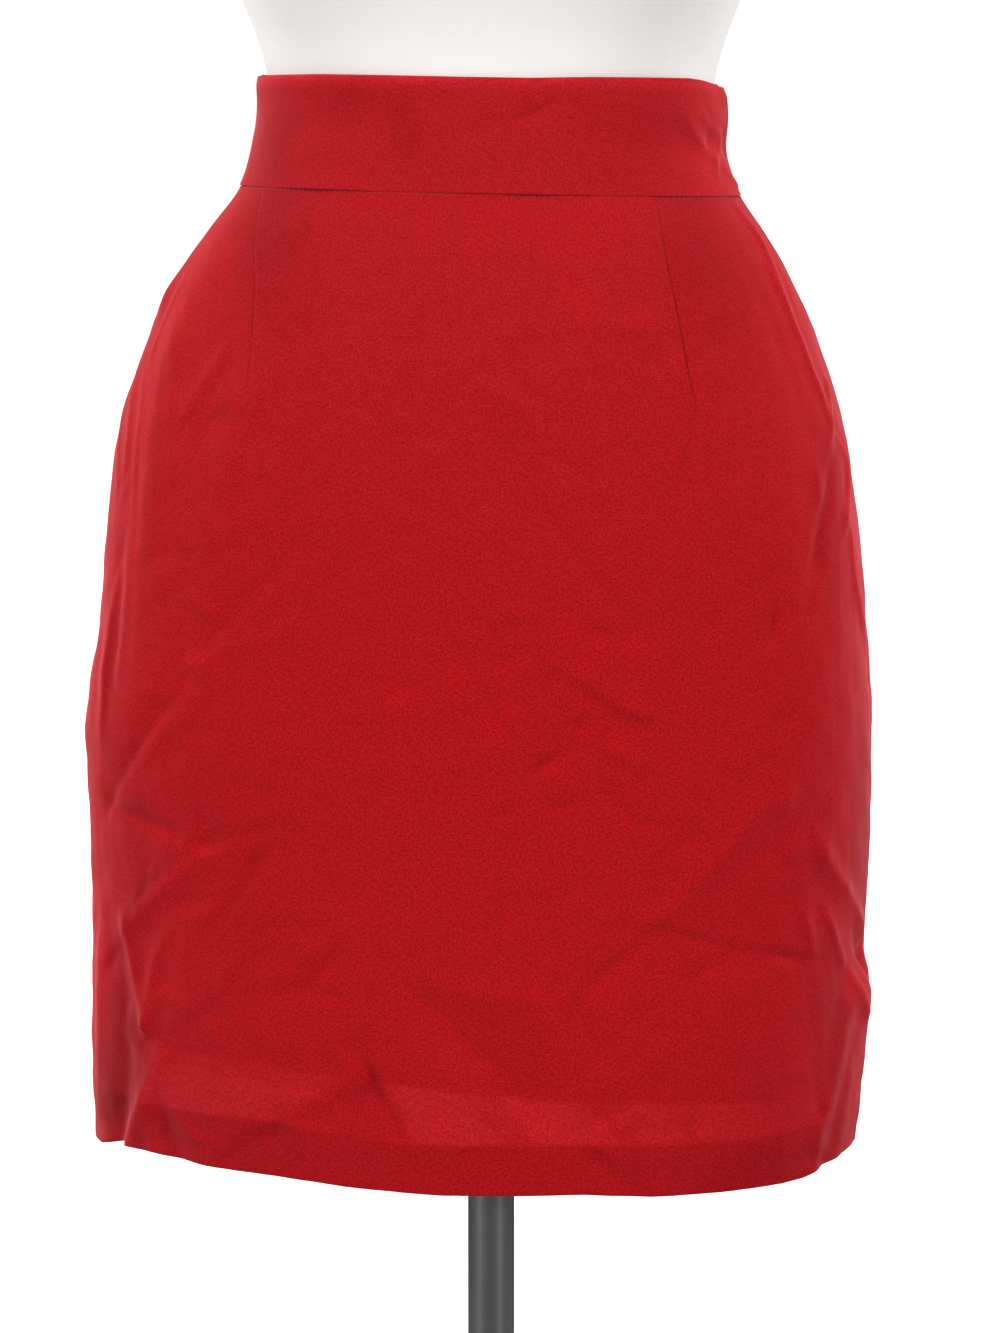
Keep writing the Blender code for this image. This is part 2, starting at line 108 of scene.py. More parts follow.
def smooth_rows(table, at):
    """The other columns at the first column's value, on a smooth curve."""
    x, y = table[:, 0], table[:, 1:]
    step = np.diff(x)[:, None]
    slope = np.diff(y, axis=0) / step
    tangent = np.vstack([
        slope[:1],
        (slope[:-1] * step[1:] + slope[1:] * step[:-1]) / (step[1:] + step[:-1]),
        slope[-1:],
    ])
    i = int(np.clip(np.searchsorted(x, at, side="right") - 1, 0, len(x) - 2))
    h = x[i + 1] - x[i]
    t = (at - x[i]) / h
    return (
        (2 * t ** 3 - 3 * t ** 2 + 1) * y[i]
        + (t ** 3 - 2 * t ** 2 + t) * h * tangent[i]
        + (3 * t ** 2 - 2 * t ** 3) * y[i + 1]
        + (t ** 3 - t ** 2) * h * tangent[i + 1]
    )


def section_ring(drop, count=2880):
    right, left, front, back, sq_fr, sq_fl, sq_b = smooth_rows(SECTIONS, drop)
    angle = np.linspace(0, 2 * np.pi, count, endpoint=False)
    c, s = np.cos(angle), np.sin(angle)
    half_x = np.where(c >= 0, left, right)
    half_y = np.where(s >= 0, back, front)
    square = np.where(s >= 0, sq_b, np.where(c >= 0, sq_fl, sq_fr))
    return np.column_stack((half_x * np.sign(c) * np.abs(c) ** (2 / square),
                            half_y * np.sign(s) * np.abs(s) ** (2 / square)))


ARCS = {}


def panel_arc(panel, drop):
    key = (panel, round(float(drop), 3))
    if key not in ARCS:
        ring = section_ring(drop)
        half = len(ring) // 2
        arc = (np.vstack([ring[half:], ring[:1]]) if panel == "front"
               else ring[: half + 1][::-1])
        length = np.append(0, np.cumsum(np.hypot(*np.diff(arc, axis=0).T)))
        ARCS[key] = arc, length - np.interp(0, arc[:, 0], length)
    return ARCS[key]


def tilt(drop, x):
    if drop >= 0:
        return -x * SEAM_TILT * max(0.0, 1 - drop / 150)
    return -x * (SEAM_TILT + (TOP_TILT - SEAM_TILT) * min(1.0, -drop / BAND_H))


def cloth_points(panel, across, drops):
    """Points of the outer face: across is (rows, columns), drops (rows)."""
    out = np.empty(across.shape + (3,))
    for i, drop in enumerate(drops):
        arc, place = panel_arc(panel, drop)
        out[i, :, 0] = np.interp(across[i], place, arc[:, 0])
        out[i, :, 1] = np.interp(across[i], place, arc[:, 1])
        out[i, :, 2] = SEAM_H - drop + tilt(drop, out[i, :, 0])
    return out


def cloth_normals(panel, across, drops):
    drops = np.asarray(drops, float)
    wide = (cloth_points(panel, across + 0.8, drops) - cloth_points(panel, across - 0.8, drops))
    high = (cloth_points(panel, across, drops + 0.8) - cloth_points(panel, across, drops - 0.8))
    normal = np.cross(wide, high)
    normal /= np.linalg.norm(normal, axis=-1, keepdims=True)
    sign = np.sign((normal[..., :2] * cloth_points(panel, across, drops)[..., :2]).sum(-1))
    return normal * sign[..., None]


# --- creases ---------------------------------------------------------------------
# Each crease runs along points on the panel. Its heights (mm, + out of the
# cloth, - into it) belong to those points; left and right are the widths of its
# two flanks as one walks along it, and soft rounds its crest.
CREASE_COLUMNS = ("name", "points", "heights", "left", "right", "soft")
CREASE_DEPTH = 1.9       # all the heights on the panels together
CREASE_WIDTH = 1.25      # and all the flanks
FRONT_CREASES = (
    # below the waist, in the middle of the panel
    ("f1", ((9, 99), (43, 144), (65, 172), (88, 198)), (-0.25, -0.6, -0.6, -0.25), 4.5, 4, 1.0),
    ("f2", ((-51, 86), (-34, 103)), (0, -0.5), 4, 4, 1.2),
    ("f3", ((38, 112), (50, 119), (62, 125)), (0, -0.6, 0), 4, 5, 1.3),
    ("f4", ((-56, 140), (-85, 171), (-114, 199)), (0, -0.65, -0.45), 6, 4, 1.2),
    ("arc", ((-116, 209), (-80, 197), (-47, 186), (-8, 182)), (0.25, 0.42, 0.34, 0), 8, 9, 1.5),
    ("d1", ((-11, 180), (8, 214), (21, 235), (33, 250)), (-0.1, -0.7, -0.9, -0.2), 4.5, 4, 0.9),
    ("d2", ((15, 190), (26, 184), (35, 184), (40, 193)), (0, 0.4, 0.4, 0), 5, 5, 1.5),
    ("d3", ((16, 208), (28, 205), (39, 201)), (0, -0.5, 0), 5, 6, 1.4),
    ("d4", ((52, 190), (70, 195), (90, 197)), (0, -0.5, -0.2), 5, 6, 1.5),
    ("strong", ((37, 201), (61, 216), (80, 228), (101, 235)), (0, 1.1, 1.3, 0), 15, 5.0, 1.0),
    ("s2", ((60, 227), (58, 234), (55, 241)), (0, -1.1, -0.2), 3.2, 3.4, 0.9),
    ("s3", ((53, 245), (42, 253), (30, 259)), (-0.2, -1.2, 0), 4, 4.2, 1.0),
    ("s4", ((60, 240), (77, 249), (95, 260)), (0, 0.7, 0), 9, 4.2, 1.1),
    ("s5", ((64, 262), (74, 272), (86, 280), (104, 279)), (0, -0.5, -0.5, 0), 4, 4, 1.2),
    ("s6", ((16, 275), (23, 275), (30, 275)), (0, -0.8, 0), 4, 4, 1.0),
    ("v1", ((27, 289), (25, 318), (24, 350)), (-0.3, -1.3, 0), 6, 5, 1.3),
    # lower left
    ("l1", ((-114, 204), (-138, 230), (-158, 252), (-188, 285)), (-0.15, -0.5, -0.9, -0.6), 5, 14, 1.1),
    ("v_a", ((-184, 282), (-153, 288), (-120, 295)), (-0.4, -0.75, -0.5), 7, 5, 1.2),
    ("v_b", ((-122, 295), (-96, 288), (-70, 281)), (-0.6, -0.6, 0), 7, 6, 1.3),
    ("l2", ((-116, 296), (-136, 311), (-154, 324), (-175, 341)), (0.2, 0.8, 0.9, 0.9), 7, 12, 1.1),
    ("ridge_b", ((-173, 336), (-168, 357), (-160, 384)), (0.9, 1.0, 0.9), 7, 8, 1.0),
    ("ridge_c", ((-138, 330), (-150, 348), (-156, 366), (-160, 384)), (0, 0.6, 0.8, 0.8), 6, 6, 1.0),
    ("l3", ((-147, 365), (-154, 375), (-160, 384)), (0, 0.5, 0.6), 4, 4, 1.0),
    ("soft_1", ((-84, 288), (-93, 301), (-104, 317), (-118, 334)), (0, -0.8, -0.8, -0.3), 6, 6, 1.4),
    ("soft_2", ((-86, 338), (-111, 359), (-142, 381)), (0, 0.6, 0.4), 4, 8, 1.6),
    ("l4", ((-145, 389), (-152, 400), (-160, 413), (-167, 425), (-176, 440), (-182, 452)), (0.2, 0.9, 1.2, 1.4, 1.5, 1.7), 10, 7, 1.4),
    ("left_panel", ((-180, 346), (-177, 375), (-178, 404), (-190, 450)), (-0.5, -1.2, -1.4, -1.6), 14, 13, 3.0),
    ("edge_l", ((-197, 334), (-202, 365), (-205, 400), (-210, 430)), (0.3, 0.8, 0.8, 0.3), 9, 7, 2.5),
    ("dark_b", ((-158, 414), (-150, 428), (-140, 450)), (0, -0.7, -0.9), 9, 9, 3.5),
    # bottom middle
    ("c1", ((-46, 323), (-57, 343), (-69, 355), (-82, 364)), (0, -0.7, -0.6, -0.2), 6, 7, 1.3),
    ("c2", ((-70, 360), (-57, 361), (-44, 360)), (-0.3, -0.7, 0), 5, 5, 1.1),
    ("c3", ((-35, 334), (-36, 361), (-38, 392)), (0, -0.7, -0.4), 4, 4, 1.0),
    ("pk", ((-38, 389), (-37, 397), (-33, 405)), (0, -0.8, 0), 2.6, 3.0, 1.0),
    ("pk_l", ((-38, 396), (-43, 408), (-49, 424)), (-0.4, -0.6, 0), 4, 5, 1.1),
    ("pk_r", ((-37, 396), (-25, 418), (-18, 432)), (-0.5, -0.9, 0), 6, 7, 1.2),
    ("diag", ((-27, 348), (-12, 362), (4, 377), (36, 408), (48, 420)), (-0.4, -1.4, -1.6, -1.2, 0), 28, 16, 1.1),
    ("diag2", ((-24, 351), (4, 355), (31, 358), (57, 363)), (0.1, 0.7, 0.7, 0.1), 9, 12, 1.2),
    ("quad_r", ((55, 362), (64, 380), (72, 400)), (-0.5, -1.0, -0.2), 6, 8, 1.4),
    ("h1", ((55, 424), (66, 433), (78, 443)), (0, -1.1, -0.6), 7, 6, 1.2),
    ("h2", ((-76, 419), (-95, 430), (-112, 443)), (0, -1.1, -0.7), 5, 6, 1.3),
    ("h3", ((109.5, 405), (110, 419), (111, 434)), (0, -0.7, 0), 3, 3, 0.9),
    # lower right
    ("r1_a", ((160, 250), (148, 266), (135, 280), (121, 295), (96, 322)), (0.1, 0.7, 1.0, 1.0, 0.6), 13, 14, 1.0),
    ("r1_b", ((94, 326), (71, 345), (58, 360), (56, 376), (67, 400)), (-0.5, -0.85, -0.8, -0.5, 0), 15, 4.5, 1.1),
    ("r2", ((93, 327), (121, 335), (158, 344), (190, 350), (206, 352)), (-0.5, -0.65, -0.45, -0.4, -0.2), 4, 16, 0.9),
    ("r2_knot", ((148, 340), (156, 343), (164, 345)), (-0.2, -0.7, -0.2), 5, 4, 1.2),
    ("r3", ((166, 279), (186, 307), (225, 339)), (0.2, 0.9, 0.8), 7, 10, 1.0),
    ("rs_a", ((162, 316), (168, 330), (173, 343)), (0, 0.6, 0.3), 4, 4, 1.0),
    ("rs_b", ((176, 318), (186, 334), (196, 350)), (0, 0.7, 0.4), 4, 4, 1.0),
    ("bright", ((197, 351), (209, 363), (222, 378)), (0.3, 1.0, 0.8), 5, 7, 1.2),
    ("dark_e", ((207, 338), (224, 352), (234, 366)), (0, -1.3, -1.5), 9, 8, 1.6),
    ("r4", ((203, 372), (194, 390), (190, 408), (180, 424), (176, 452)), (0.4, 0.7, 0.5, 0.8, 0.6), 8, 9, 2.2),
    ("r5", ((213, 380), (203, 400), (192, 424), (184, 452)), (-0.3, -0.5, -0.4, -0.6), 7, 8, 2.4),
    ("r6", ((222, 382), (206, 396), (203, 416), (196, 452)), (0.3, 0.6, 0.4, 0.3), 7, 8, 2.2),
    # sides, from the waist down
    ("rseam", ((143, 4), (155, 21), (161, 43), (171, 68), (183, 90), (190, 103)), (0.4, 0.9, 1.0, 0.9, 0.9, 0.3), 5, 4, 1.2),
    ("rhol", ((132, 20), (144, 44), (156, 72), (168, 100), (172, 120)), (0, -0.25, -0.3, -0.3, -0.1), 7, 7, 2.5),
    ("rseam2", ((196, 87), (192, 100), (186, 114), (180, 128)), (0.6, 0.7, 0.4, 0), 5, 5, 1.4),
    ("rs3", ((190, 100), (201, 108), (213, 118)), (0, -0.5, -0.4), 4, 4, 1.2),
    ("rb", ((191, 104), (204, 116), (209, 124), (203, 142), (185, 168)), (0.1, 0.6, 0.8, 0.7, 0), 4, 4, 1.0),
    ("rb2", ((173, 116), (174, 130), (175, 144)), (0, 0.4, 0), 3, 4, 1.2),
    ("re", ((203, 140), (205, 160), (208, 178), (217, 192), (229, 206)), (0, 0.6, 0.9, 0.8, 0.3), 4, 5, 1.0),
    ("rd1", ((188, 112), (182, 134), (174, 154), (166, 180)), (0, -0.7, -0.8, -0.3), 6, 5, 1.5),
    ("rd2", ((148, 181), (147, 192), (143, 206)), (0, -0.8, 0), 5, 5, 1.3),
    ("rdart", ((109, 97), (106, 115), (105, 133)), (-0.5, -0.45, 0), 4, 5, 1.3),
    ("ls1", ((-205, 84), (-196, 110), (-188, 129), (-186, 154)), (0, 0.35, 0.35, 0), 3, 3, 0.9),
    ("ls2", ((-194, 74), (-184, 96), (-178, 116), (-180, 142)), (0, 0.3, 0.4, 0), 3, 3, 0.9),
    ("ls3", ((-180, 74), (-169, 97), (-168, 128), (-166, 162)), (0, 0.3, 0.35, 0), 3, 3, 0.9),
    ("ls4", ((-148, 34), (-158, 52), (-165, 68), (-170, 88)), (0, 0.3, 0.35, 0), 3, 3, 0.9),
    ("lx", ((-188, 152), (-176, 137), (-163, 122)), (0, 0.3, 0), 3, 3, 1.0),
    ("lx2", ((-192, 190), (-180, 170), (-170, 150)), (0, -0.3, 0), 3, 3, 1.0),
    ("lin", ((-106, 60), (-115, 73), (-123, 84), (-134, 102), (-142, 114)), (0, 0.35, 0.4, 0.35, 0), 3.5, 4, 1.0),
    ("lb", ((-120, 0), (-126, 18), (-131, 35), (-139, 57), (-147, 75), (-150, 99), (-152, 130), (-155, 157), (-156, 189), (-161, 222), (-170, 268)),
     (0.1, 0.5, 0.8, 1.0, 1.15, 1.15, 1.1, 1.0, 0.8, 0.6, 0.2), 22, 15, 6.5),
    ("lr3", ((-168, 150), (-170, 176), (-172, 204), (-176, 232)), (0, 0.35, 0.3, 0), 5, 5, 1.8),
    ("ltri", ((-166, 34), (-172, 50), (-186, 62)), (0.2, 0.6, 0.2), 7, 7, 2.5),
    ("lstreak", ((-108, 67), (-118, 82), (-128, 95)), (0, 0.5, 0.2), 3.6, 4, 1.2),
    ("lv", ((-108, 94), (-107, 125), (-107, 162)), (0.2, 0.4, 0), 7, 9, 2.0),
    ("le", ((-180, 176), (-185, 196), (-188, 216), (-188, 236), (-190, 264)), (0, 0.6, 0.8, 0.7, 0.1), 4, 9, 1.0),
    ("le2", ((-174, 150), (-176, 180), (-179, 214), (-181, 246)), (0, -0.3, -0.35, 0), 4, 4, 1.6),
)
# Soft rounded swellings and hollows: centre, half sizes, turn in degrees, height.
PATCH_COLUMNS = ("across", "drop", "half_across", "half_drop", "turn", "height")
FRONT_PATCHES = (
    (10.7, 78, 3.0, 2.6, 0, -0.5),
    (-115, 103, 10, 7, 0, -0.6),
    (-98.5, 92, 11, 14, 0, 0.6),
    (108, 100, 12, 14, 0, 0.5),
    (120, 372, 38, 24, 8, 0.9),
    (28, 380, 26, 14, 20, 0.5),
    (-98, 322, 26, 20, -35, 0.6),
    (60, 60, 60, 60, 0, 0.4),
    (-40, 250, 60, 40, 0, 0.4),
    (234, 367, 24, 13, 0, 2.5),
    (234, 386, 22, 20, 0, 0.9),
    (232, 351, 16, 7, 0, -1.2),
)
BACK_CREASES = (
    ("b1", ((-176, 218), (-140, 240), (-96, 262)), (-0.4, -1.1, 0), 12, 6, 1.4),
    ("b2", ((170, 236), (126, 268), (82, 300)), (0.3, 1.0, 0), 13, 9, 1.5),
    ("b3", ((-64, 212), (-12, 226), (42, 246)), (0, -0.6, 0), 9, 6, 1.4),
    ("b4", ((-118, 300), (-150, 326), (-190, 358)), (0, -1.1, -0.9), 6, 13, 1.3),
    ("b5", ((38, 298), (96, 314), (152, 340), (206, 352)), (0, -0.8, -1.2, -0.8), 8, 14, 1.3),
    ("b6", ((-42, 326), (-20, 360), (20, 414)), (0, 0.8, 0), 9, 13, 1.8),
    ("b7", ((164, 356), (150, 400), (136, 452)), (0.2, 0.9, 1.4), 7, 8, 1.6),
    ("b8", ((-152, 378), (-144, 410), (-130, 452)), (0.2, 0.8, 1.3), 7, 7, 1.6),
    ("b9", ((-72, 390), (-66, 420), (-56, 452)), (0, -0.7, -1.0), 7, 9, 1.8),
    ("b10", ((60, 160), (74, 190), (70, 226)), (0, -0.35, 0), 6, 6, 1.6),
    ("b11", ((-40, 130), (-66, 152), (-104, 166)), (0, -0.35, -0.1), 6, 5, 1.6),
    ("b12", ((-150, 96), (-156, 150), (-162, 204)), (0.1, 0.7, 0.3), 12, 9, 2.0),
    ("b13", ((150, 84), (156, 140), (160, 190)), (0.1, 0.7, 0.3), 9, 12, 2.0),
    ("b14", ((30, 366), (52, 376), (66, 398)), (0, -0.6, -0.3), 7, 10, 1.5),
    ("b15", ((84, 404), (96, 426), (100, 444)), (0, 0.5, 0.2), 6, 6, 1.6),
    ("b16", ((206, 300), (196, 330), (178, 356)), (0.6, 0.9, 0), 6, 8, 1.6),
    ("b17", ((-10, 250), (-2, 270), (2, 292)), (0, -0.4, 0), 5, 6, 1.4),
)
BACK_PATCHES = (
    (-80, 122, 15, 18, 0, 0.6),
    (80, 122, 15, 18, 0, 0.6),
    (0, 330, 60, 50, 0, 0.5),
    (-110, 340, 30, 22, 30, 0.5),
    (110, 380, 34, 24, -12, 0.6),
    (0, 150, 70, 50, 0, 0.4),
)


def smooth_line(points, values, step=2.5):
    """A smooth curve through the points, and the values along it."""
    pts = np.array(points, float)
    vals = np.array(values, float)
    if len(pts) == 2:
        n = max(3, int(np.hypot(*(pts[1] - pts[0])) / step))
        t = np.linspace(0, 1, n)[:, None]
        return pts[0] + (pts[1] - pts[0]) * t, vals[0] + (vals[1] - vals[0]) * t[:, 0]
    ends = np.vstack([2 * pts[0] - pts[1], pts, 2 * pts[-1] - pts[-2]])
    line, level = [], []
    for k in range(len(pts) - 1):
        p0, p1, p2, p3 = ends[k:k + 4]
        n = max(3, int(np.hypot(*(p2 - p1)) / step))
        t = np.linspace(0, 1, n, endpoint=(k == len(pts) - 2))[:, None]
        line.append(0.5 * (2 * p1 + (p2 - p0) * t + (2 * p0 - 5 * p1 + 4 * p2 - p3) * t ** 2
                           + (3 * p1 - p0 - 3 * p2 + p3) * t ** 3))
        ease = (3 * t ** 2 - 2 * t ** 3)[:, 0]
        level.append(vals[k] + (vals[k + 1] - vals[k]) * ease)
    return np.vstack(line), np.concatenate(level)


def crease_height(across, drop, creases, patches):
    """The creases' height at arrays of places on a panel, in millimetres."""
    across, drop = np.broadcast_arrays(across, drop)
    total = np.zeros(across.shape)
    for _, points, heights, left, right, soft in creases:
        line, level = smooth_line(points, heights)
        reach = CREASE_WIDTH * max(left, right) + 2 * soft
        near = ((across > line[:, 0].min() - reach) & (across < line[:, 0].max() + reach)
                & (drop > line[:, 1].min() - reach) & (drop < line[:, 1].max() + reach))
        a, d = across[near], drop[near]
        best = np.full(a.shape, 1e9)
        side = np.zeros(a.shape)
        height = np.zeros(a.shape)
        for p, q, hp, hq in zip(line[:-1], line[1:], level[:-1], level[1:]):
            run = q - p
            long = math.hypot(*run)
            if long < 1e-6:
                continue
            u = run / long
            along = np.clip((a - p[0]) * u[0] + (d - p[1]) * u[1], 0, long)
            da, dd = a - p[0] - along * u[0], d - p[1] - along * u[1]
            dist = np.hypot(da, dd)
            nearer = dist < best
            best = np.where(nearer, dist, best)
            cross = dd * u[0] - da * u[1]
            side = np.where(nearer, cross / np.maximum(dist, 1e-6), side)
            height = np.where(nearer, hp + (hq - hp) * along / long, height)
        # seen from outside, a place to the right of the walk has side > 0
        width = CREASE_WIDTH * (left + (right - left) * (0.5 + 0.5 * np.clip(side, -1, 1)))
        fall = np.clip((np.sqrt(best ** 2 + soft ** 2) - soft) / width, 0, 1)
        total[near] += height * (1 - fall) ** 2
    for ca, cd, half_a, half_d, turn, height in patches:
        t = math.radians(turn)
        da, dd = across - ca, drop - cd
        u = (da * math.cos(t) + dd * math.sin(t)) / half_a
        v = (-da * math.sin(t) + dd * math.cos(t)) / half_d
        total += height * np.exp(-(u * u + v * v))
    return total


def undulation(across, drop, seed):
    """Small uneven waves that hanging cloth has everywhere."""
    rng = np.random.default_rng(seed)
    total = np.zeros(np.broadcast(across, drop).shape)
    for count, longest, shortest, height in ((12, 130, 55, 0.13), (16, 34, 16, 0.048), (14, 13, 8, 0.014)):
        for _ in range(count):
            wave = 2 * np.pi / rng.uniform(shortest, longest)
            way = rng.uniform(0, np.pi)
            phase = rng.uniform(0, 2 * np.pi)
            total += height * np.sin(wave * (across * math.cos(way) + drop * math.sin(way)) + phase)
    return total


def dart_at(panel, k, drop):
    """Place across of dart k, carried on below its tip in step with the panel."""
    line = np.array(DARTS[panel][k])
    tip = line[-1, 1]
    if drop <= tip:
        return float(np.interp(max(drop, 0.0), line[:, 1], line[:, 0]))
    end = -1 if line[-1, 0] > 0 else 0
    return float(line[-1, 0] * panel_arc(panel, drop)[1][end] / panel_arc(panel, tip)[1][end])


def dart_height(panel, across, drops):
    """The stitched line of each dart, and its intake lying towards the centre."""
    total = np.zeros(across.shape)
    for k, line in enumerate(DARTS[panel]):
        tip = line[-1][1]
        toward = -1.0 if line[-1][0] > 0 else 1.0
        for i, drop in enumerate(drops):
            if drop > tip + 14 or drop < -3:
                continue
            away = across[i] - dart_at(panel, k, min(drop, tip))
            fade = np.clip((tip - drop) / 30, 0, 1)
            drawn = (1.0, 0.55)[k == 0] * np.clip(0.35 + 1.3 * drop / tip, 0, 1)
            total[i] -= 0.7 * drawn * np.sqrt(fade) * np.exp(-np.abs(away / 0.8) ** 1.6)
            intake = 11.0 * np.clip((tip - drop) / tip, 0, 1)
            inward = away * toward
            ledge = 1 / (1 + np.exp(-inward / 0.5)) * 1 / (1 + np.exp((inward - intake) / 1.2))
            total[i] += 0.16 * fade * ledge * min(1.0, intake / 4)
    return total


def crumples(seed, count):
    """Small soft creases of wear, more of them lower down: crease rows."""
    rng = np.random.default_rng(seed)
    rows = []
    for k in range(count):
        drop = 60 + 385 * rng.uniform(0, 1) ** 0.75
        centre = rng.uniform(-195, 195)
        long = rng.uniform(12, 46)
        lean = math.radians(rng.choice((-48, 42, 8)) + rng.normal(0, 20))
        bend = rng.uniform(-0.18, 0.18) * long
        u = np.array((math.cos(lean), math.sin(lean)))
        v = np.array((-u[1], u[0]))
        pts = [np.array((centre, drop)) + u * (t * long) + v * bend * (1 - 4 * t * t) for t in (-0.5, -0.1, 0.25, 0.5)]
        high = rng.choice((-1, -1, 1)) * rng.uniform(0.18, 0.66)
        rows.append(("w%d" % k, tuple(map(tuple, pts)), (0, high, 0.8 * high, 0),
                     rng.uniform(3.5, 8.5), rng.uniform(3.5, 8.5), rng.uniform(1.0, 1.9)))
    return tuple(rows)


CRUMPLES = {"front": crumples(71, 78), "back": crumples(83, 70)}


def raw_height(panel, across, drops):
    drop = np.asarray(drops, float)[:, None]
    creases, patches, seed = ((FRONT_CREASES, FRONT_PATCHES, 5) if panel == "front"
                              else (BACK_CREASES, BACK_PATCHES, 11))
    calm = np.clip(drop / 60, 0.15, 1)
    return (CREASE_DEPTH * crease_height(across, drop, creases + CRUMPLES[panel], patches) * np.clip((drop + 1) / 8, 0, 1)
            + undulation(across, drop, seed) * calm)


def cloth_height(panel, across, drops):
    """Heights of a panel; at the side seams both panels share one height."""
    total = raw_height(panel, across, drops) + dart_height(panel, across, drops)
    for end in (0, -1):
        edge, high = {}, {}
        for side in ("front", "back"):
            edge[side] = np.array([[panel_arc(side, drop)[1][end]] for drop in drops])
            high[side] = raw_height(side, edge[side], drops)
        shared = 0.75 * high["front"] + 0.25 * high["back"]
        total += (shared - high[panel]) * np.exp(-((across - edge[panel]) / 11) ** 2)
    return total


# How far the front's hem is drawn up by its folds: (across, rise).
HEM_RISE = ((-230, -1.5), (-212, -1.5), (-200, 1.0), (-188, 3.6), (-178, 3.4), (-160, 3.5), (-140, 3.1),
            (-125, 2.3), (-84, 2.2), (-67, 1.4), (-50, 0.4), (-38, 0.0), (-5, -0.7), (35, 0.0), (60, 0.9),
            (90, -0.5), (125, -0.6), (155, 0.0), (168, 0.8), (176, 2.4), (184, 4.0), (200, 6.0), (212, 6.6),
            (224, 6.2), (240, 5.0))


def hem_rise(panel, across, drops):
    fade = np.clip((np.asarray(drops, float)[:, None] - 385) / 63, 0, 1) ** 1.5
    if panel == "front":
        return along(HEM_RISE, across) * fade
    ends = np.array([[panel_arc(panel, drop)[1][0], panel_arc(panel, drop)[1][-1]] for drop in drops])
    return fade * (-1.5 * np.exp(-((across - ends[:, :1]) / 25) ** 2)
                   + 5.0 * np.exp(-((across - ends[:, 1:]) / 30) ** 2) + 0.5 * np.sin(across / 23.0))


# --- painted light and shade in the cloth's colour, and what shows through the single layer above the hem ---
LINING_EDGE = ((-260, 380), (-157, 388), (-137, 392), (-57, 396), (32, 404), (148, 408), (260, 410))
HEM_TOP = ((-260, 422), (-155, 423), (-95, 421.3), (-45, 424.2), (-21, 426), (13, 425), (103, 425), (168, 424), (260, 424))
# painted light: how strongly the single layer above the hem is drawn brighter, by place across
SHOW_THROUGH_LIGHT = ((-215, 0.0), (-168, 0.0), (-158, 0.1), (-149, 0.75), (-125, 0.85), (-99, 0.95), (-72, 0.85), (-56, 0.35), (-46, 0.1),
                (-36, 0.05), (-28, 0.6), (-18, 1.0), (8, 1.0), (14, 0.5), (26, 0.45), (32, 1.0), (52, 0.95), (62, 0.65),
                (70, 0.3), (80, 0.75), (92, 0.7), (102, 0.5), (112, 0.75), (130, 0.7), (142, 0.4), (156, 0.2),
                (175, 0.08), (240, 0.05))
# painted shade of the lining's own doubled hem, just above its edge
LINING_SHADE = ((-260, 0.1), (-150, 0.5), (-115, 0.8), (-60, 0.7), (-30, 0.45), (0, 0.5), (40, 0.5), (75, 0.7), (150, 1.0), (170, 0.6), (260, 0.2))
# painted shade (-) and painted light (+) in patches on the front panel: columns as PATCH_COLUMNS
FRONT_PAINTED_SPOTS = (
    (-179, 398, 17, 48, 0, -1.7),
    (-200, 424, 12, 24, 0, -1.5),
    (-200, 360, 6, 20, 0, 0.9),
    (-147, 432, 8, 9, 0, -1.0),
    (-35, 400, 4.0, 7.0, -20, -1.0),
    (-172, 315, 22, 50, 0, -0.5),
    (192, 300, 30, 110, 0, -0.6),
    (220, 280, 16, 60, 0, -1.3),
    (196, 408, 26, 44, 0, -0.8),
    (204, 361, 7, 10, 0, 1.2),
    (150, 440, 40, 12, 0, -0.5),
    (214, 347, 8, 10, 0, -1.2),
    (183, 364, 24, 26, 0, -0.5),
    (186, 134, 15, 60, 0, -0.8),
    (-100, 6, 26, 36, 0, -0.9),
    (-90, 30, 26, 44, 0, -0.6),
    (-112, 100, 7, 6, 0, -0.5),
    (124, 26, 36, 48, 0, -0.8),
    (106, 12, 16, 26, 0, -0.5),
    (28, 376, 26, 13, 22, -0.3),
    (4, 392, 24, 8, 42, 0.25),
)
# painted shade (-) and painted light (+) in patches on the front of the waistband: columns as PATCH_COLUMNS
BAND_PAINTED_SPOTS = (
    (-26, -28, 8, 13, 0, -0.6),
    (-58, -40, 16, 9, 0, -0.4),
    (-104, -17, 26, 24, 0, -1.2),
    (-84, -18, 8, 16, 45, 0.3),
    (20, -36, 20, 4, -25, -0.25),
    (98, -36, 20, 12, 0, -0.5),
    (122, -16, 9, 16, -30, 0.5),
)
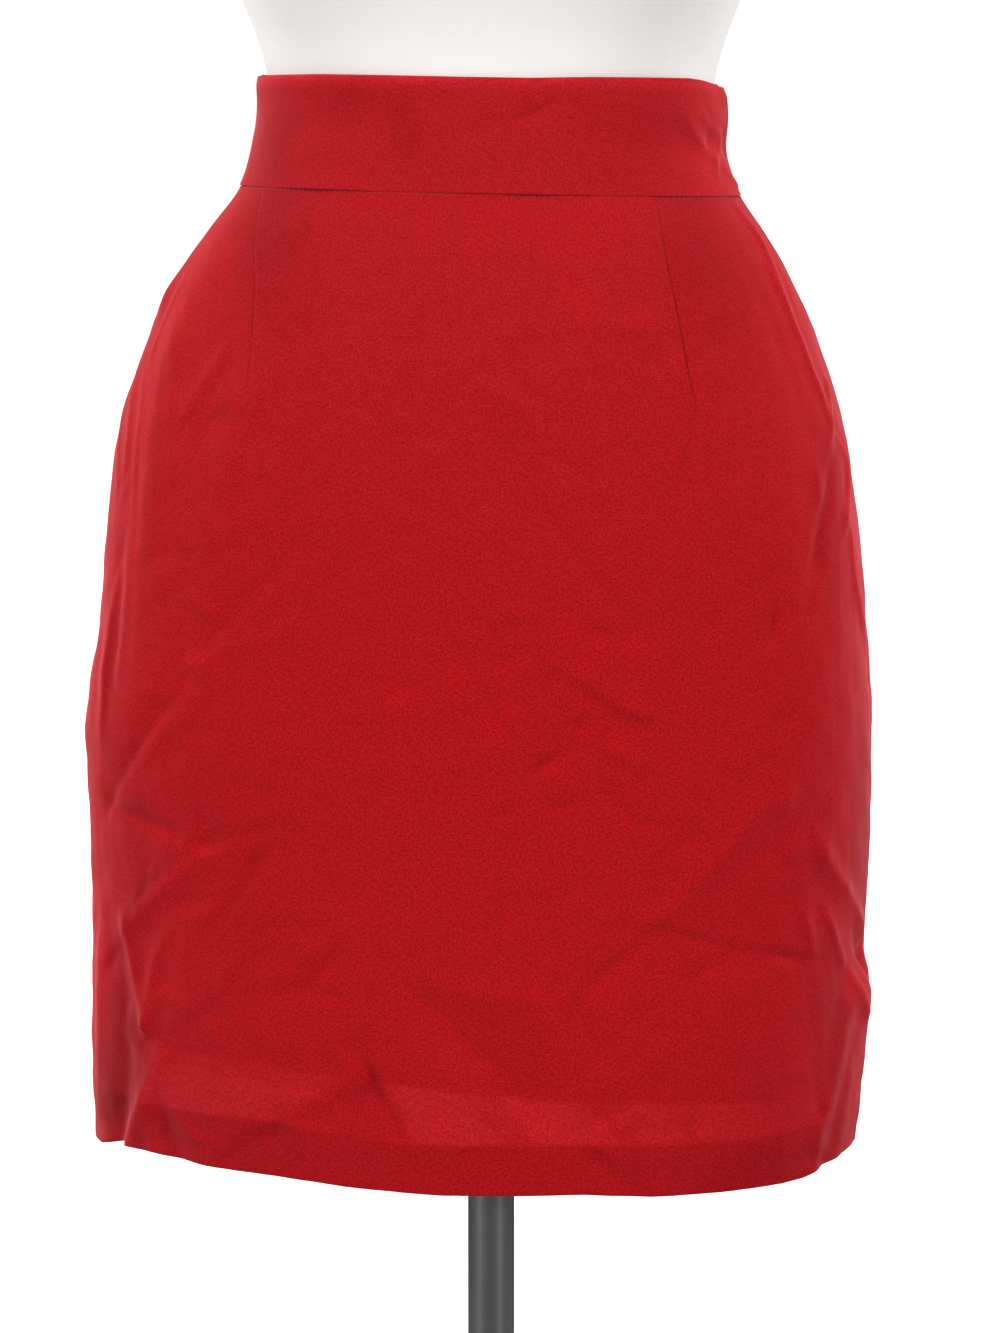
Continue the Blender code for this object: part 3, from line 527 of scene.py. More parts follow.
# painted shade (-) and painted highlights (+), drawn along lines with the columns of a crease: its heights are tones
FRONT_PAINTED_LINES = (
    ("le", ((-179, 178), (-185, 197), (-188, 216), (-187, 234), (-189, 253), (-190, 274)), (0, -1.0, -1.5, -1.5, -1.2, -0.2), 19, 0.8, 0.3),
    ("le_out", ((-179, 178), (-185, 197), (-188, 216), (-187, 234), (-189, 253), (-190, 274)), (0, 0.8, 1.0, 1.0, 0.8, 0.1), 0.8, 9, 0.3),
    ("l1", ((-128, 219), (-148, 242), (-163, 260), (-188, 285)), (0, -0.4, -0.7, -0.5), 1.5, 9, 0.5),
    ("v_a", ((-184, 282), (-153, 288), (-122, 295), (-96, 288), (-70, 281)), (-0.3, -0.6, -0.6, -0.4, 0), 5, 2, 0.6),
    ("pk", ((-40, 386), (-37, 396), (-34, 403), (-25, 418), (-19, 432)), (-0.2, -0.8, -1.2, -0.8, -0.3), 3.6, 2.8, 0.8),
    ("pk_l", ((-39, 398), (-43, 408), (-49, 424)), (-0.5, -0.6, -0.1), 2.5, 2.5, 0.8),
    ("pk_diag", ((-43, 399), (-59, 410), (-78, 420), (-105, 440)), (-0.6, -1.0, -0.8, -0.4), 7, 6, 1.5),
    ("D1", ((-84, 288), (-93, 301), (-104, 317), (-118, 334)), (0, -0.6, -0.6, -0.2), 5, 4, 1.0),
    ("D3", ((-80, 333), (-111, 355), (-140, 377), (-148, 387)), (0, -0.7, -0.6, -0.1), 4, 3, 1.0),
    ("D4", ((-48, 329), (-57, 343), (-69, 355), (-82, 364)), (0, -0.6, -0.6, 0), 4, 3, 1.0),
    ("l2_in", ((-128, 297), (-144, 307), (-158, 319), (-171, 334)), (-0.4, -1.2, -1.6, -1.1), 4, 6, 1.2),
    ("corner", ((-148, 394), (-152, 400), (-160, 413), (-167, 425), (-176, 440), (-182, 450)), (-0.4, -1.0, -1.2, -1.0, -0.8, -0.5), 0.8, 20, 0.4),
    ("facet", ((-148, 394), (-152, 400), (-160, 413), (-167, 425), (-176, 440), (-182, 450)), (0.7, 1.4, 1.6, 1.6, 1.5, 1.4), 8, 0.8, 0.4),
    ("lb_in", ((-144, 57), (-152, 75), (-155, 99), (-157, 130), (-160, 157), (-161, 189), (-165, 230)), (0, -0.5, -0.6, -0.6, -0.5, -0.4, 0), 14, 1.2, 0.5),
    ("lb_out", ((-136, 35), (-144, 57), (-152, 75), (-155, 99), (-157, 130), (-160, 157), (-161, 189), (-165, 230)), (0, 0.4, 0.6, 0.7, 0.7, 0.6, 0.4, 0), 1.2, 24, 1.5),
    ("ls1", ((-205, 84), (-196, 110), (-188, 129), (-186, 154)), (0, 0.5, 0.5, 0), 2, 2, 0.5),
    ("ls2", ((-194, 74), (-184, 96), (-178, 116), (-180, 142)), (0, 0.4, 0.5, 0), 2, 2, 0.5),
    ("ls3", ((-180, 74), (-169, 97), (-168, 128), (-166, 162)), (0, 0.4, 0.4, 0), 2, 2, 0.5),
    ("ls4", ((-148, 34), (-158, 52), (-165, 68), (-170, 88)), (0, 0.4, 0.4, 0), 2, 2, 0.5),
    ("ldk", ((-190, 104), (-184, 120), (-184, 134)), (0, -0.8, 0), 2.5, 2.5, 0.6),
    ("rs", ((143, 4), (148, 18), (165, 50), (179, 77), (189, 101)), (0.3, 0.7, 0.9, 0.9, 0.6), 2, 2.2, 0.5),
    ("rs2", ((138, 18), (158, 52), (173, 80), (185, 101)), (0.2, 0.5, 0.6, 0.3), 1.6, 1.6, 0.5),
    ("rdk", ((187, 117), (174, 154), (168, 175)), (-0.4, -0.7, -0.1), 4, 3, 0.8),
)


def spots(patches, across, drop):
    total = np.zeros(np.broadcast(across, drop).shape)
    for ca, cd, half_a, half_d, turn, height in patches:
        t = math.radians(turn)
        u = ((across - ca) * math.cos(t) + (drop - cd) * math.sin(t)) / half_a
        v = ((drop - cd) * math.cos(t) - (across - ca) * math.sin(t)) / half_d
        total = total + height * np.exp(-(u * u + v * v) ** 1.5)
    return total


def step_up(x, width):
    t = np.clip(x / width + 0.5, 0, 1)
    return t * t * (3 - 2 * t)


def along(table, across):
    rows = np.array(table, float)
    return np.interp(across, rows[:, 0], rows[:, 1])


def cloth_painted_light(panel, across, drops):
    """Painted light (+) where light is painted as coming through one layer alone, and painted shade (-) where the hem
    doubles the cloth, along the darts, and in the painted patches and lines of the front.
    """
    drop = np.asarray(drops, float)[:, None]
    if panel == "front":
        lean = 0.8 * (drop - 411) * np.tanh((across + 45) / 20)
        edge, turn, show = (along(LINING_EDGE, across), along(HEM_TOP, across),
                            along(SHOW_THROUGH_LIGHT, across - lean))
        shade = along(LINING_SHADE, across)
    else:
        edge = 402 + 4 * np.sin(across / 70)
        turn = np.full(across.shape, 425.0)
        show = 0.55 + 0.4 * np.sin((across - 0.7 * (drop - 411)) / 17 + 1) * np.cos(across / 53)
        shade = 0.4 + 0.3 * np.sin(across / 60)
    # painted light: between the lining's edge and the hem's top the single layer is drawn brighter, by show
    one = step_up(drop - edge, 3.5) * step_up(turn - drop, 2.2)
    # on the right of the wearer the lining's edge is folded double once more, and the painted light just below it is
    # halved
    one = one * (1 - 0.5 * step_up(edge + 9 - drop, 6.0) * step_up(-66 - across, 24.0))
    # painted shade: a band just above the lining's edge is drawn darker
    lining_hem_shade = step_up(drop - edge + 10, 8.0) * step_up(edge - drop, 3.5)
    # painted shade: the doubled hem band below the hem's top is drawn darker
    total = one * show - 0.28 * lining_hem_shade * shade - 0.55 * step_up(drop - turn, 2.2)
    # painted shade: a thin dark line drawn along each dart's stitched line
    for k, line in enumerate(DARTS[panel]):
        tip = line[-1][1]
        for i, d in enumerate(drops):
            if 0 < d < tip + 6:
                drawn = (1.6, 1.0)[k == 0] * min(1.0, (0.3, 0.0)[k == 0] + 1.2 * d / tip) * min(1.0, (tip + 6 - d) / 16)
                total[i] -= drawn * np.exp(-((across[i] - dart_at(panel, k, min(d, tip))) / 0.62) ** 2)
    # painted shade and painted highlights in patches and along lines on the front panel
    if panel == "front":
        total = total + spots(FRONT_PAINTED_SPOTS, across, drop) + crease_height(across, drop, FRONT_PAINTED_LINES, ())
    return total


# --- meshes ------------------------------------------------------------------------
def new_object(name, points, faces, material, smooth=True, sharp=None):
    mesh = bpy.data.meshes.new(name)
    mesh.from_pydata((np.asarray(points, float).reshape(-1, 3) * MM).tolist(), [], faces)
    if smooth:
        mesh.shade_smooth()
    if sharp:
        mesh.set_sharp_from_angle(angle=math.radians(sharp))
    mesh.materials.append(material)
    ob = bpy.data.objects.new(name, mesh)
    bpy.context.scene.collection.objects.link(ob)
    return ob


def grid_faces(rows, cols, flip=False, closed=False):
    i, j = np.meshgrid(np.arange(rows - 1), np.arange(cols if closed else cols - 1), indexing="ij")
    k = (j + 1) % cols
    quad = np.stack([i * cols + j, (i + 1) * cols + j, (i + 1) * cols + k, i * cols + k], -1)
    return (quad[..., ::-1] if flip else quad).reshape(-1, 4).tolist()


def set_uv(mesh, name, u, v):
    """A UV map from one (u, v) for each vertex."""
    layer = mesh.uv_layers.new(name=name)
    index = np.empty(len(mesh.loops), np.int32)
    mesh.loops.foreach_get("vertex_index", index)
    layer.data.foreach_set("uv", np.column_stack([np.ravel(u)[index], np.ravel(v)[index]]).ravel())


def set_painted_light(mesh, values):
    # a value for each vertex of painted light (+) and painted shade (-), which the cloth's material reads
    layer = mesh.attributes.new("painted_light", "FLOAT", "POINT")
    layer.data.foreach_set("value", np.ravel(values).astype(np.float32))


def fold_in(radius, run, steps=5):
    """Past a folded edge: how far beyond it (mm) and how far inwards."""
    turn = np.linspace(0, np.pi, steps + 1)[1:]
    return ([radius * math.sin(t) for t in turn] + [-s for s in run],
            [radius * (1 - math.cos(t)) for t in turn] + [2 * radius] * len(run))


def panel_sheet(name, panel, counts, upper_step, lower_step, material):
    """One panel of the skirt as a single sheet, with its allowances folded in."""
    edge, inset = 0.45, 0.15
    near_dart = np.array((-3.2, -2.0, -1.2, -0.7, -0.35, 0, 0.35, 0.7, 1.2, 2.0, 3.2))
    beyond, deep = fold_in(edge, (3.0, 8.0, 13.0))
    hem_r = 0.6
    # the top is caught between the two layers of the waistband
    rows = [-5.0, -2.6, -1.2, -0.75, -0.45, -0.25, -0.1, 0.1, 0.4, 1.0, 2.0, 3.4]
    inward = [0.80, 0.80, 0.78, 0.70, 0.54, 0.36, 0.22, 0.12, 0.05, 0.01, 0.0, 0.0]
    main = list(np.arange(5.0, 186.0, upper_step)) + list(np.arange(186.0, SKIRT_L - hem_r, lower_step))
    rows += main
    inward += [0.0] * len(main)
    hem_beyond, hem_deep = fold_in(hem_r, list(np.arange(1.6, HEM_TURN - hem_r, 2.2)) + [HEM_TURN - hem_r])
    rows += [SKIRT_L - hem_r + b for b in hem_beyond]
    inward += hem_deep
    across, offset = [], []
    for drop in rows:
        _, place = panel_arc(panel, drop)
        low, high = place[0] + edge + inset, place[-1] - edge - inset
        first, second = dart_at(panel, 0, drop), dart_at(panel, 1, drop)
        cols = np.concatenate([
            np.linspace(low, first - 4.2, counts[0]), first + near_dart,
            np.linspace(first + 4.2, second - 4.2, counts[1]), second + near_dart,
            np.linspace(second + 4.2, high, counts[2])])
        left = [low - b for b in beyond][::-1]
        right = [high + b for b in beyond]
        across.append(np.concatenate([left, cols, right]))
        offset.append(np.concatenate([deep[::-1], np.zeros(len(cols)), deep]))
    across, offset = np.array(across), np.array(offset)
    offset = offset + np.array(inward)[:, None]
    lift = cloth_height(panel, across, rows)
    points = (cloth_points(panel, across, rows)
              + cloth_normals(panel, across, rows) * (lift - offset)[..., None])
    points[..., 2] += hem_rise(panel, across, rows)
    shape = across.shape
    ob = new_object(name, points, grid_faces(*shape, flip=panel == "back"), material)
    # the cloth's own millimetres for its weave, and a plain map of the whole sheet
    down = np.array(rows)[:, None] + np.zeros(shape)
    cut = np.cumsum(np.append(0, np.hypot(np.diff(rows), np.diff(inward))))
    set_uv(ob.data, "cloth", across * 0.01, -(cut[:, None] + np.zeros(shape)) * 0.01)
    flat = np.cumsum(np.append(0, np.median(np.abs(np.diff(across, axis=1)), axis=0) + 0.02))
    set_uv(ob.data, "OFBake", 0.01 + 0.98 * np.broadcast_to(flat / flat[-1], shape),
           0.01 + 0.98 * (1 - cut[:, None] / cut[-1] + np.zeros(shape)))
    turned_up = (np.arange(len(rows)) >= len(rows) - len(hem_deep) + 2)[:, None]
    # painted shade: the turned-up hem allowance inside is drawn darker
    set_painted_light(ob.data, np.where(turned_up, -0.4, cloth_painted_light(panel, across, rows)))
    return ob


# --- waistband ------------------------------------------------------------------------
BAND_FRONT_CREASES = (
    ("y1", ((103, -37), (110, -31), (116, -25), (123, -20), (130, -16), (130, -7)), (0.1, 0.45, 0.6, 0.6, 0.6, 0.1), 4.5, 5, 1.2),
    ("y2", ((112, -35), (128, -33), (137, -27), (136, -21), (131, -17)), (0, 0.2, 0.45, 0.45, 0.3), 4, 4, 1.3),
    ("y3", ((118, -44), (126, -36), (134, -32)), (0, -0.35, -0.2), 3, 4, 1.2),
    ("low", ((134, -14), (144, -10), (156, -4)), (0, 0.6, 0.7), 4, 4, 1.2),
    ("fold", ((15, -30), (32, -36), (48, -44)), (0, -0.55, 0), 3, 4, 0.9),
    ("step", ((-23, -46), (-22, -24), (-21, -4)), (0.2, 0.5, 0.35), 5, 16, 1.4),
)
BAND_FRONT_PATCHES = ((-95, -14, 22, 10, 25, 0.3), (-60, -32, 22, 16, 0, -0.4), (60, -20, 30, 18, 0, 0.2),
                      (125, -25, 4.5, 4.5, 0, -0.5), (106, -19, 8, 7, 0, -0.35), (118, -42, 12, 6, 0, -0.3))
BAND_BACK_CREASES = (
    ("k1", ((-60, -6), (-48, -26), (-30, -44)), (0, 0.5, 0), 7, 7, 1.5),
    ("k2", ((34, -44), (52, -28), (70, -8)), (0, -0.4, 0), 6, 6, 1.5),
    ("k3", ((-134, -30), (-120, -22), (-106, -20)), (0.3, 0.6, 0), 5, 6, 1.3),
)
TOP_EDGE = ((-160, -0.3), (-128, -0.2), (-100, 0.2), (-72, 0.6), (-40, 0.3), (-5, -0.2), (30, -0.5),
            (60, 0.2), (95, 0.3), (112, 0.2), (122, -0.5), (132, -1.6), (150, -3.6))


def waistband_sheet(name, material):
    """A strip folded along its top edge, its raw edges turned in at the seam."""
    proud, wall = 0.45, 1.75
    mid = proud - wall / 2
    r = wall / 2
    profile = [(-10.0, -0.35), (-6.0, -0.35), (-3.0, -0.35), (-1.3, -0.28), (-0.45, -0.1)]
    profile += [(-0.1 - 0.3 * (1 - math.cos(t)), proud - 0.3 + 0.3 * math.sin(t))
                for t in np.linspace(-0.5, math.pi / 2, 5)]
    profile += [(z, proud) for z in (-1.2, -2.0, -3.2)] + [(z, proud) for z in np.arange(-4.6, -50.0, -1.3)]
    profile += [(-BAND_H + r - r * math.sin(t), mid + r * math.cos(t)) for t in np.linspace(0, math.pi, 11)]
    profile += [(z, proud - wall) for z in np.arange(-48.0, -1.4, 3.1)]
    profile += [(-0.7, proud - wall + 0.05), (-0.3, proud - wall + 0.3), (-0.7, proud - wall + 0.55),
                (-3.0, proud - wall + 0.5), (-9.0, proud - wall + 0.5)]
    drops = np.array([p[0] for p in profile])
    out = np.array([p[1] for p in profile])
    # the top few millimetres lean back
    lean = np.clip((-drops - (BAND_H - 6.5)) / 6.5, 0, 1) ** 2
    out = out - 1.1 * lean * np.where(out > mid, 1.0, 0.45)
    back_n, front_n = 330, 360
    blocks = []
    for panel, n, turn in (("back", back_n, True), ("front", front_n, False)):
        across = []
        for drop in drops:
            place = panel_arc(panel, drop)[1]
            low, high = place[0], place[-1]
            row = np.linspace(low, high - 0.1, n)
            across.append(row[::-1] if turn else row)
        across = np.array(across)
        drop = drops[:, None]
        # at the zip both ends stand out a little at the top and dip half way down
        left_end = across[:, :1] if turn else across[:, -1:]
        tip = (1.7 * np.exp(-((across - left_end) / 9) ** 2) * np.clip((-drop - 28) / 20, 0, 1)
               - 1.2 * np.exp(-((across - left_end) / 7) ** 2 - ((drop + 21.5) / 4.5) ** 2))
        if panel == "front":
            lift = 1.7 * crease_height(across, drop, BAND_FRONT_CREASES, BAND_FRONT_PATCHES) + tip
            rise = along(TOP_EDGE, across)
        else:
            lift = 1.7 * crease_height(across, drop, BAND_BACK_CREASES, ()) + tip
            rise = 0.4 * np.sin(across / 27 + 0.6) - 3.8 * step_up(across - left_end + 34, 68.0)
        lift = lift * np.clip((-drop) / 5, 0, 1) + 0.5 * undulation(across, drop, 23 if turn else 29)
        calm = np.where(out > mid, 1.0, 0.35)[:, None]
        points = (cloth_points(panel, across, drops)
                  + cloth_normals(panel, across, drops) * (out[:, None] + lift * calm)[..., None])
        points[..., 2] += rise * np.clip((-drop - 8) / (BAND_H - 8), 0, 1)
        # painted shade and painted light on the front of the band
        painted_light = spots(BAND_PAINTED_SPOTS, across, drop) if panel == "front" else 0.0 * across
        if panel == "front":
            points, painted_light = points[:, 1:], painted_light[:, 1:]
        blocks.append((points, painted_light))
    points = np.concatenate([b[0] for b in blocks], axis=1)
    rows, cols = points.shape[:2]
    faces = grid_faces(rows, cols)
    # the two ends are closed between their outer and inner layers
    top = int(np.argmin(drops))
    for col, flip in ((0, False), (cols - 1, True)):
        outer = [i for i in range(5, top + 1)]
        inner = [i for i in range(top, rows - 4)]
        loop = [i * cols + col for i in outer + inner[1:]]
        faces.append(loop[::-1] if flip else loop)
    ob = new_object(name, points, faces, material)
    cut = np.cumsum(np.append(0, np.hypot(np.diff(drops), np.diff(out))))
    step = np.linalg.norm(np.diff(points[len(profile) // 3], axis=0), axis=1)
    length = np.append(0, np.cumsum(step))
    u = np.broadcast_to(length, (rows, cols))
    v = np.broadcast_to(cut[:, None], (rows, cols))
    set_uv(ob.data, "cloth", u * 0.01 + 3.0, v * 0.01)
    set_uv(ob.data, "OFBake", 0.01 + 0.98 * u / length[-1], 0.01 + 0.98 * v / cut[-1])
    # painted highlight: the fold along the top edge is drawn a little paler, where it leans back towards the light
    top_edge_highlight = np.clip((-drops - BAND_H + 6.5) / 6.5, 0, 1)[:, None]
    set_painted_light(ob.data, 1.5 * top_edge_highlight ** 1.5 + np.concatenate([b[1] for b in blocks], axis=1))
    return ob


# --- lining -----------------------------------------------------------------------------
LINING = np.array(((3, 3.3), (125, 3.3), (200, 3.3), (250, 5.0), (300, 8.0), (404, 10.0)), float)


def lining_sheet(name, material):
    """A tube inside the panels, hemmed 44 mm above the skirt's own hem."""
    turn = list(np.arange(3.0, 300.0, 6.0)) + list(np.arange(300.0, 403.6, 3.0))
    beyond, deep = fold_in(0.4, (2.0, 6.0, 10.0))
    drops = turn + [403.6 + b for b in beyond]
    inside = [0.0] * len(turn) + deep
    blocks = []
    for panel, turned in (("back", True), ("front", False)):
        across = np.array([np.linspace(*panel_arc(panel, drop)[1][[0, -1]], 190) for drop in drops])
        if turned:
            across = across[:, ::-1]
        across = across[:, :-1]
        inset = np.array([smooth_rows(LINING, drop)[0] for drop in drops]) + np.array(inside)
        drop = np.array(drops)[:, None]
        creases, patches = ((FRONT_CREASES, FRONT_PATCHES) if panel == "front"
                            else (BACK_CREASES, BACK_PATCHES))
        free = np.clip((drop - 200) / 120, 0, 1)
        lift = (0.35 * crease_height(across, drop, creases[:0], patches)
                + free * (0.9 * np.sin(across / 14.0 + (1.3 if turned else 0.2)) * np.sin(across / 47.0 + drop / 150)
                          + 0.8 * undulation(across, drop, 41)))
        normal = cloth_normals(panel, across, drops)
        blocks.append(cloth_points(panel, across, drops) + normal * (lift - inset[:, None])[..., None])
    points = np.concatenate(blocks, axis=1)
    rows, cols = points.shape[:2]
    return new_object(name, points, grid_faces(rows, cols, closed=True), material)


# --- zip --------------------------------------------------------------------------------
def seam_frame(drop, aside, inset):
    """A point by the left side seam: aside > 0 is towards the back."""
    panel = "back" if aside >= 0 else "front"
    place = panel_arc(panel, drop)[1]
    across = np.array([[place[-1] - abs(aside)]])
    point = cloth_points(panel, across, [drop])[0, 0]
    normal = cloth_normals(panel, across - 0.9, [drop])[0, 0]
    return point - normal * inset


def zip_tape(name, material):
    drops = np.arange(-50.0, 125.1, 2.5)
    points, faces = [], []
    for side in (-1, 1):
        start = len(points)
        cols = np.array((0.7, 1.3, 2.4, 4.5, 7.0, 9.0, 10.2, 10.8))
        for drop in drops:
            for c in cols:
                rib = 0.25 if c in (1.3, 10.2) else 0.0
                points.append(seam_frame(drop, side * c, 2.45 - rib))
        n = len(cols)
        for f in grid_faces(len(drops), n, flip=side < 0):
            faces.append([start + k for k in f])
    return new_object(name, points, faces, material)


def zip_coil(name, material):
    """The closed coil: interlocked loops down the middle of the tape."""
    points, faces = [], []
    pitch, sides, wire = 1.25, 5, 0.26
    count = int((125 + 48) / pitch)
    for k in range(count):
        drop = -48 + k * pitch
        for side in (-1, 1):
            ring = []
            for t in np.linspace(0, 1, 7):
                ang = math.pi * (t - 0.5)
                aside = side * (0.35 - 1.25 * math.cos(ang)) * -1
                ring.append((drop + (side * 0.28) + 0.42 * math.sin(ang), aside, 2.0 - 0.3 * math.cos(ang)))
            base = len(points)
            centre = [seam_frame(d, a, i) for d, a, i in ring]
            out = seam_frame(drop, side * 1.0, 0.0) - seam_frame(drop, side * 1.0, 1.0)
            for m, c in enumerate(centre):
                ahead = centre[min(m + 1, len(centre) - 1)] - centre[max(m - 1, 0)]
                ahead = ahead / np.linalg.norm(ahead)
                a1 = np.cross(ahead, out)
                a1 /= np.linalg.norm(a1)
                a2 = np.cross(ahead, a1)
                for s in range(sides):
                    w = 2 * math.pi * s / sides
                    points.append(c + wire * (math.cos(w) * a1 + math.sin(w) * a2))
            for m in range(len(centre) - 1):
                for s in range(sides):
                    n = (s + 1) % sides
                    faces.append((base + m * sides + s, base + m * sides + n,
                                  base + (m + 1) * sides + n, base + (m + 1) * sides + s))
            faces.append(tuple(base + s for s in range(sides))[::-1])
            last = base + (len(centre) - 1) * sides
            faces.append(tuple(last + s for s in range(sides)))
    return new_object(name, points, faces, material)


# --- sewing thread ------------------------------------------------------------------------
def stitch_row(name, runs, material, length=2.0, gap=0.9, thick=0.2):
    """Short rounded stitches along lines of places (panel, across, drop, proud)."""
    points, faces = [], []
    sides = 6
    for panel, places in runs:
        places = np.array(places, float)
        dist = np.append(0, np.cumsum(np.hypot(np.diff(places[:, 0]), np.diff(places[:, 1]))))
        at = 0.3
        while at + length < dist[-1]:
            ring = []
            for t, w in ((0.0, 0.25), (0.12, 0.75), (0.35, 1.0), (0.65, 1.0), (0.88, 0.75), (1.0, 0.25)):
                s = at + length * t
                a, d, proud = (np.interp(s, dist, places[:, c]) for c in range(3))
                across = np.array([[a]])
                sink = 0.22 * (2 * t - 1) ** 4
                p = cloth_points(panel, across, [d])[0, 0]
                n = cloth_normals(panel, across, [max(d, 0.9)])[0, 0]
                ring.append((p + n * (proud - sink), n, w))
            base = len(points)
            for m, (p, n, w) in enumerate(ring):
                ahead = ring[min(m + 1, 5)][0] - ring[max(m - 1, 0)][0]
                ahead = ahead / np.linalg.norm(ahead)
                side = np.cross(ahead, n)
                for s in range(sides):
                    g = 2 * math.pi * s / sides
                    points.append(p + thick * w * (math.cos(g) * n + math.sin(g) * side))
            for m in range(5):
                for s in range(sides):
                    e = (s + 1) % sides
                    faces.append((base + m * sides + s, base + m * sides + e,
                                  base + (m + 1) * sides + e, base + (m + 1) * sides + s))
            faces.append(tuple(base + s for s in range(sides))[::-1])
            faces.append(tuple(base + 5 * sides + s for s in range(sides)))
            at += length + gap
    return new_object(name, points, faces, material)


# --- the form and its stand ------------------------------------------------------------------
TORSO = np.array((
    (-300, 150.0, 88.0, 91.0, 2.15), (-297, 155.0, 93.0, 96.0, 2.15),
    (-288, 158.5, 96.5, 100.0, 2.15), (-260, 164.0, 100.0, 106.0, 2.18),
    (-225, 168.4, 102.6, 110.6, 2.20), (-190, 169.0, 103.0, 113.8, 2.20),
    (-150, 165.0, 100.6, 114.2, 2.20), (-110, 158.2, 96.6, 111.2, 2.18),
    (-75, 147.8, 92.2, 104.8, 2.14), (-45, 135.4, 87.2, 95.6, 2.10),
    (-20, 121.0, 81.8, 87.6, 2.08), (-10, 114.2, 79.8, 85.0, 2.07),
    (0, 108.8, 78.0, 82.4, 2.06), (20, 104.6, 77.0, 81.2, 2.05),
    (38, 103.4, 76.4, 80.6, 2.05), (52, 103.6, 76.6, 80.4, 2.05),
    (66, 107.2, 78.4, 81.6, 2.05), (95, 118.0, 86.0, 88.0, 2.06),
    (135, 131.0, 98.0, 95.0, 2.08), (178, 142.0, 111.5, 101.0, 2.12),
    (216, 150.0, 117.5, 105.0, 2.20), (256, 160.0, 113.5, 107.5, 2.30),
    (296, 174.0, 101.5, 105.5, 2.40), (330, 184.0, 87.0, 99.0, 2.45),
    (362, 188.0, 76.0, 88.0, 2.40), (384, 176.0, 67.0, 78.0, 2.30),
    (400, 144.0, 60.0, 70.0, 2.20), (412, 108.0, 56.0, 64.0, 2.10),
    (424, 80.0, 54.0, 59.0, 2.05), (440, 64.0, 53.0, 55.0, 2.00),
    (470, 56.0, 53.0, 53.0, 2.00),
), float)
ARM_X = 165.0


def form_torso(name, material, segments=192):
    heights = np.concatenate([np.linspace(-300, -288, 7), np.arange(-284, 300, 5.0),
                              np.arange(300, 470, 2.5), [470.0]])
    angle = np.linspace(0, 2 * np.pi, segments, endpoint=False)
    c, s = np.cos(angle), np.sin(angle)
    points = []
    for height in heights:
        wide, front, back, square = smooth_rows(TORSO, height)
        x = wide * np.sign(c) * np.abs(c) ** (2 / square)
        y = np.where(s >= 0, back, front) * np.sign(s) * np.abs(s) ** (2 / square)
        # the arm ends are flat, with a rounded rim
        limit = ARM_X - 0.2
        over = np.clip((np.abs(x) - (limit - 5)) / 5, 0, None)
        eased = limit - 5 + 5 * np.tanh(over)
        x = np.where(np.abs(x) > limit - 5, np.sign(x) * eased, x)
        points.append(np.column_stack([x, y, np.full(segments, SEAM_H + height)]))
    points = np.array(points)
    rows = len(heights)
    faces = grid_faces(rows, segments, flip=True, closed=True)
    verts = points.reshape(-1, 3).tolist()
    # underside and neck are closed with rings drawn in to the middle
    for row, z, flip in ((0, SEAM_H - 300.0, True), (rows - 1, SEAM_H + 470.0, False)):
        last = [row * segments + k for k in range(segments)]
        for shrink in (0.985, 0.6, 0.25):
            ring = []
            for k in range(segments):
                p = points[row, k]
                ring.append(len(verts))
                verts.append([p[0] * shrink, p[1] * shrink, z])
            for k in range(segments):
                n = (k + 1) % segments
                quad = (last[k], ring[k], ring[n], last[n])
                faces.append(quad if flip else quad[::-1])
            last = ring
        centre = len(verts)
        verts.append([0.0, 0.0, z])
        for k in range(segments):
            n = (k + 1) % segments
            tri = (last[k], centre, last[n])
            faces.append(tri if flip else tri[::-1])
    return new_object(name, verts, faces, material, sharp=50)


def turned(name, profile, material, segments=96, centre=(0.0, 0.0), sharp=32):
    """A turned piece: (radius, height) from the axis round to the axis."""
    verts, faces, rings = [], [], []
    for radius, height in profile:
        if radius == 0:
            rings.append([len(verts)])
            verts.append((centre[0], centre[1], height))
        else:
            rings.append(list(range(len(verts), len(verts) + segments)))
            verts += [(centre[0] + radius * math.cos(2 * math.pi * k / segments),
                       centre[1] + radius * math.sin(2 * math.pi * k / segments), height)
                      for k in range(segments)]
    for a, b in zip(rings, rings[1:]):
        for k in range(segments):
            n = (k + 1) % segments
            if len(a) == 1:
                faces.append((a[0], b[k], b[n]))
            elif len(b) == 1:
                faces.append((a[k], b[0], a[n]))
            else:
                faces.append((a[k], b[k], b[n], a[n]))
    return new_object(name, verts, faces, material, sharp=sharp)


def rounded(corners, radius, steps=4):
    """A profile with its inner corners rounded."""
    out = [corners[0]]
    for before, here, after in zip(corners, corners[1:], corners[2:]):
        a = np.subtract(before, here)
        b = np.subtract(after, here)
        la, lb = np.hypot(*a), np.hypot(*b)
        r = min(radius, la * 0.45, lb * 0.45)
        p, q = np.array(here) + a / la * r, np.array(here) + b / lb * r
        for t in np.linspace(0, 1, steps + 1):
            out.append(tuple((1 - t) ** 2 * p + 2 * t * (1 - t) * np.array(here) + t * t * q))
    out.append(corners[-1])
    return out


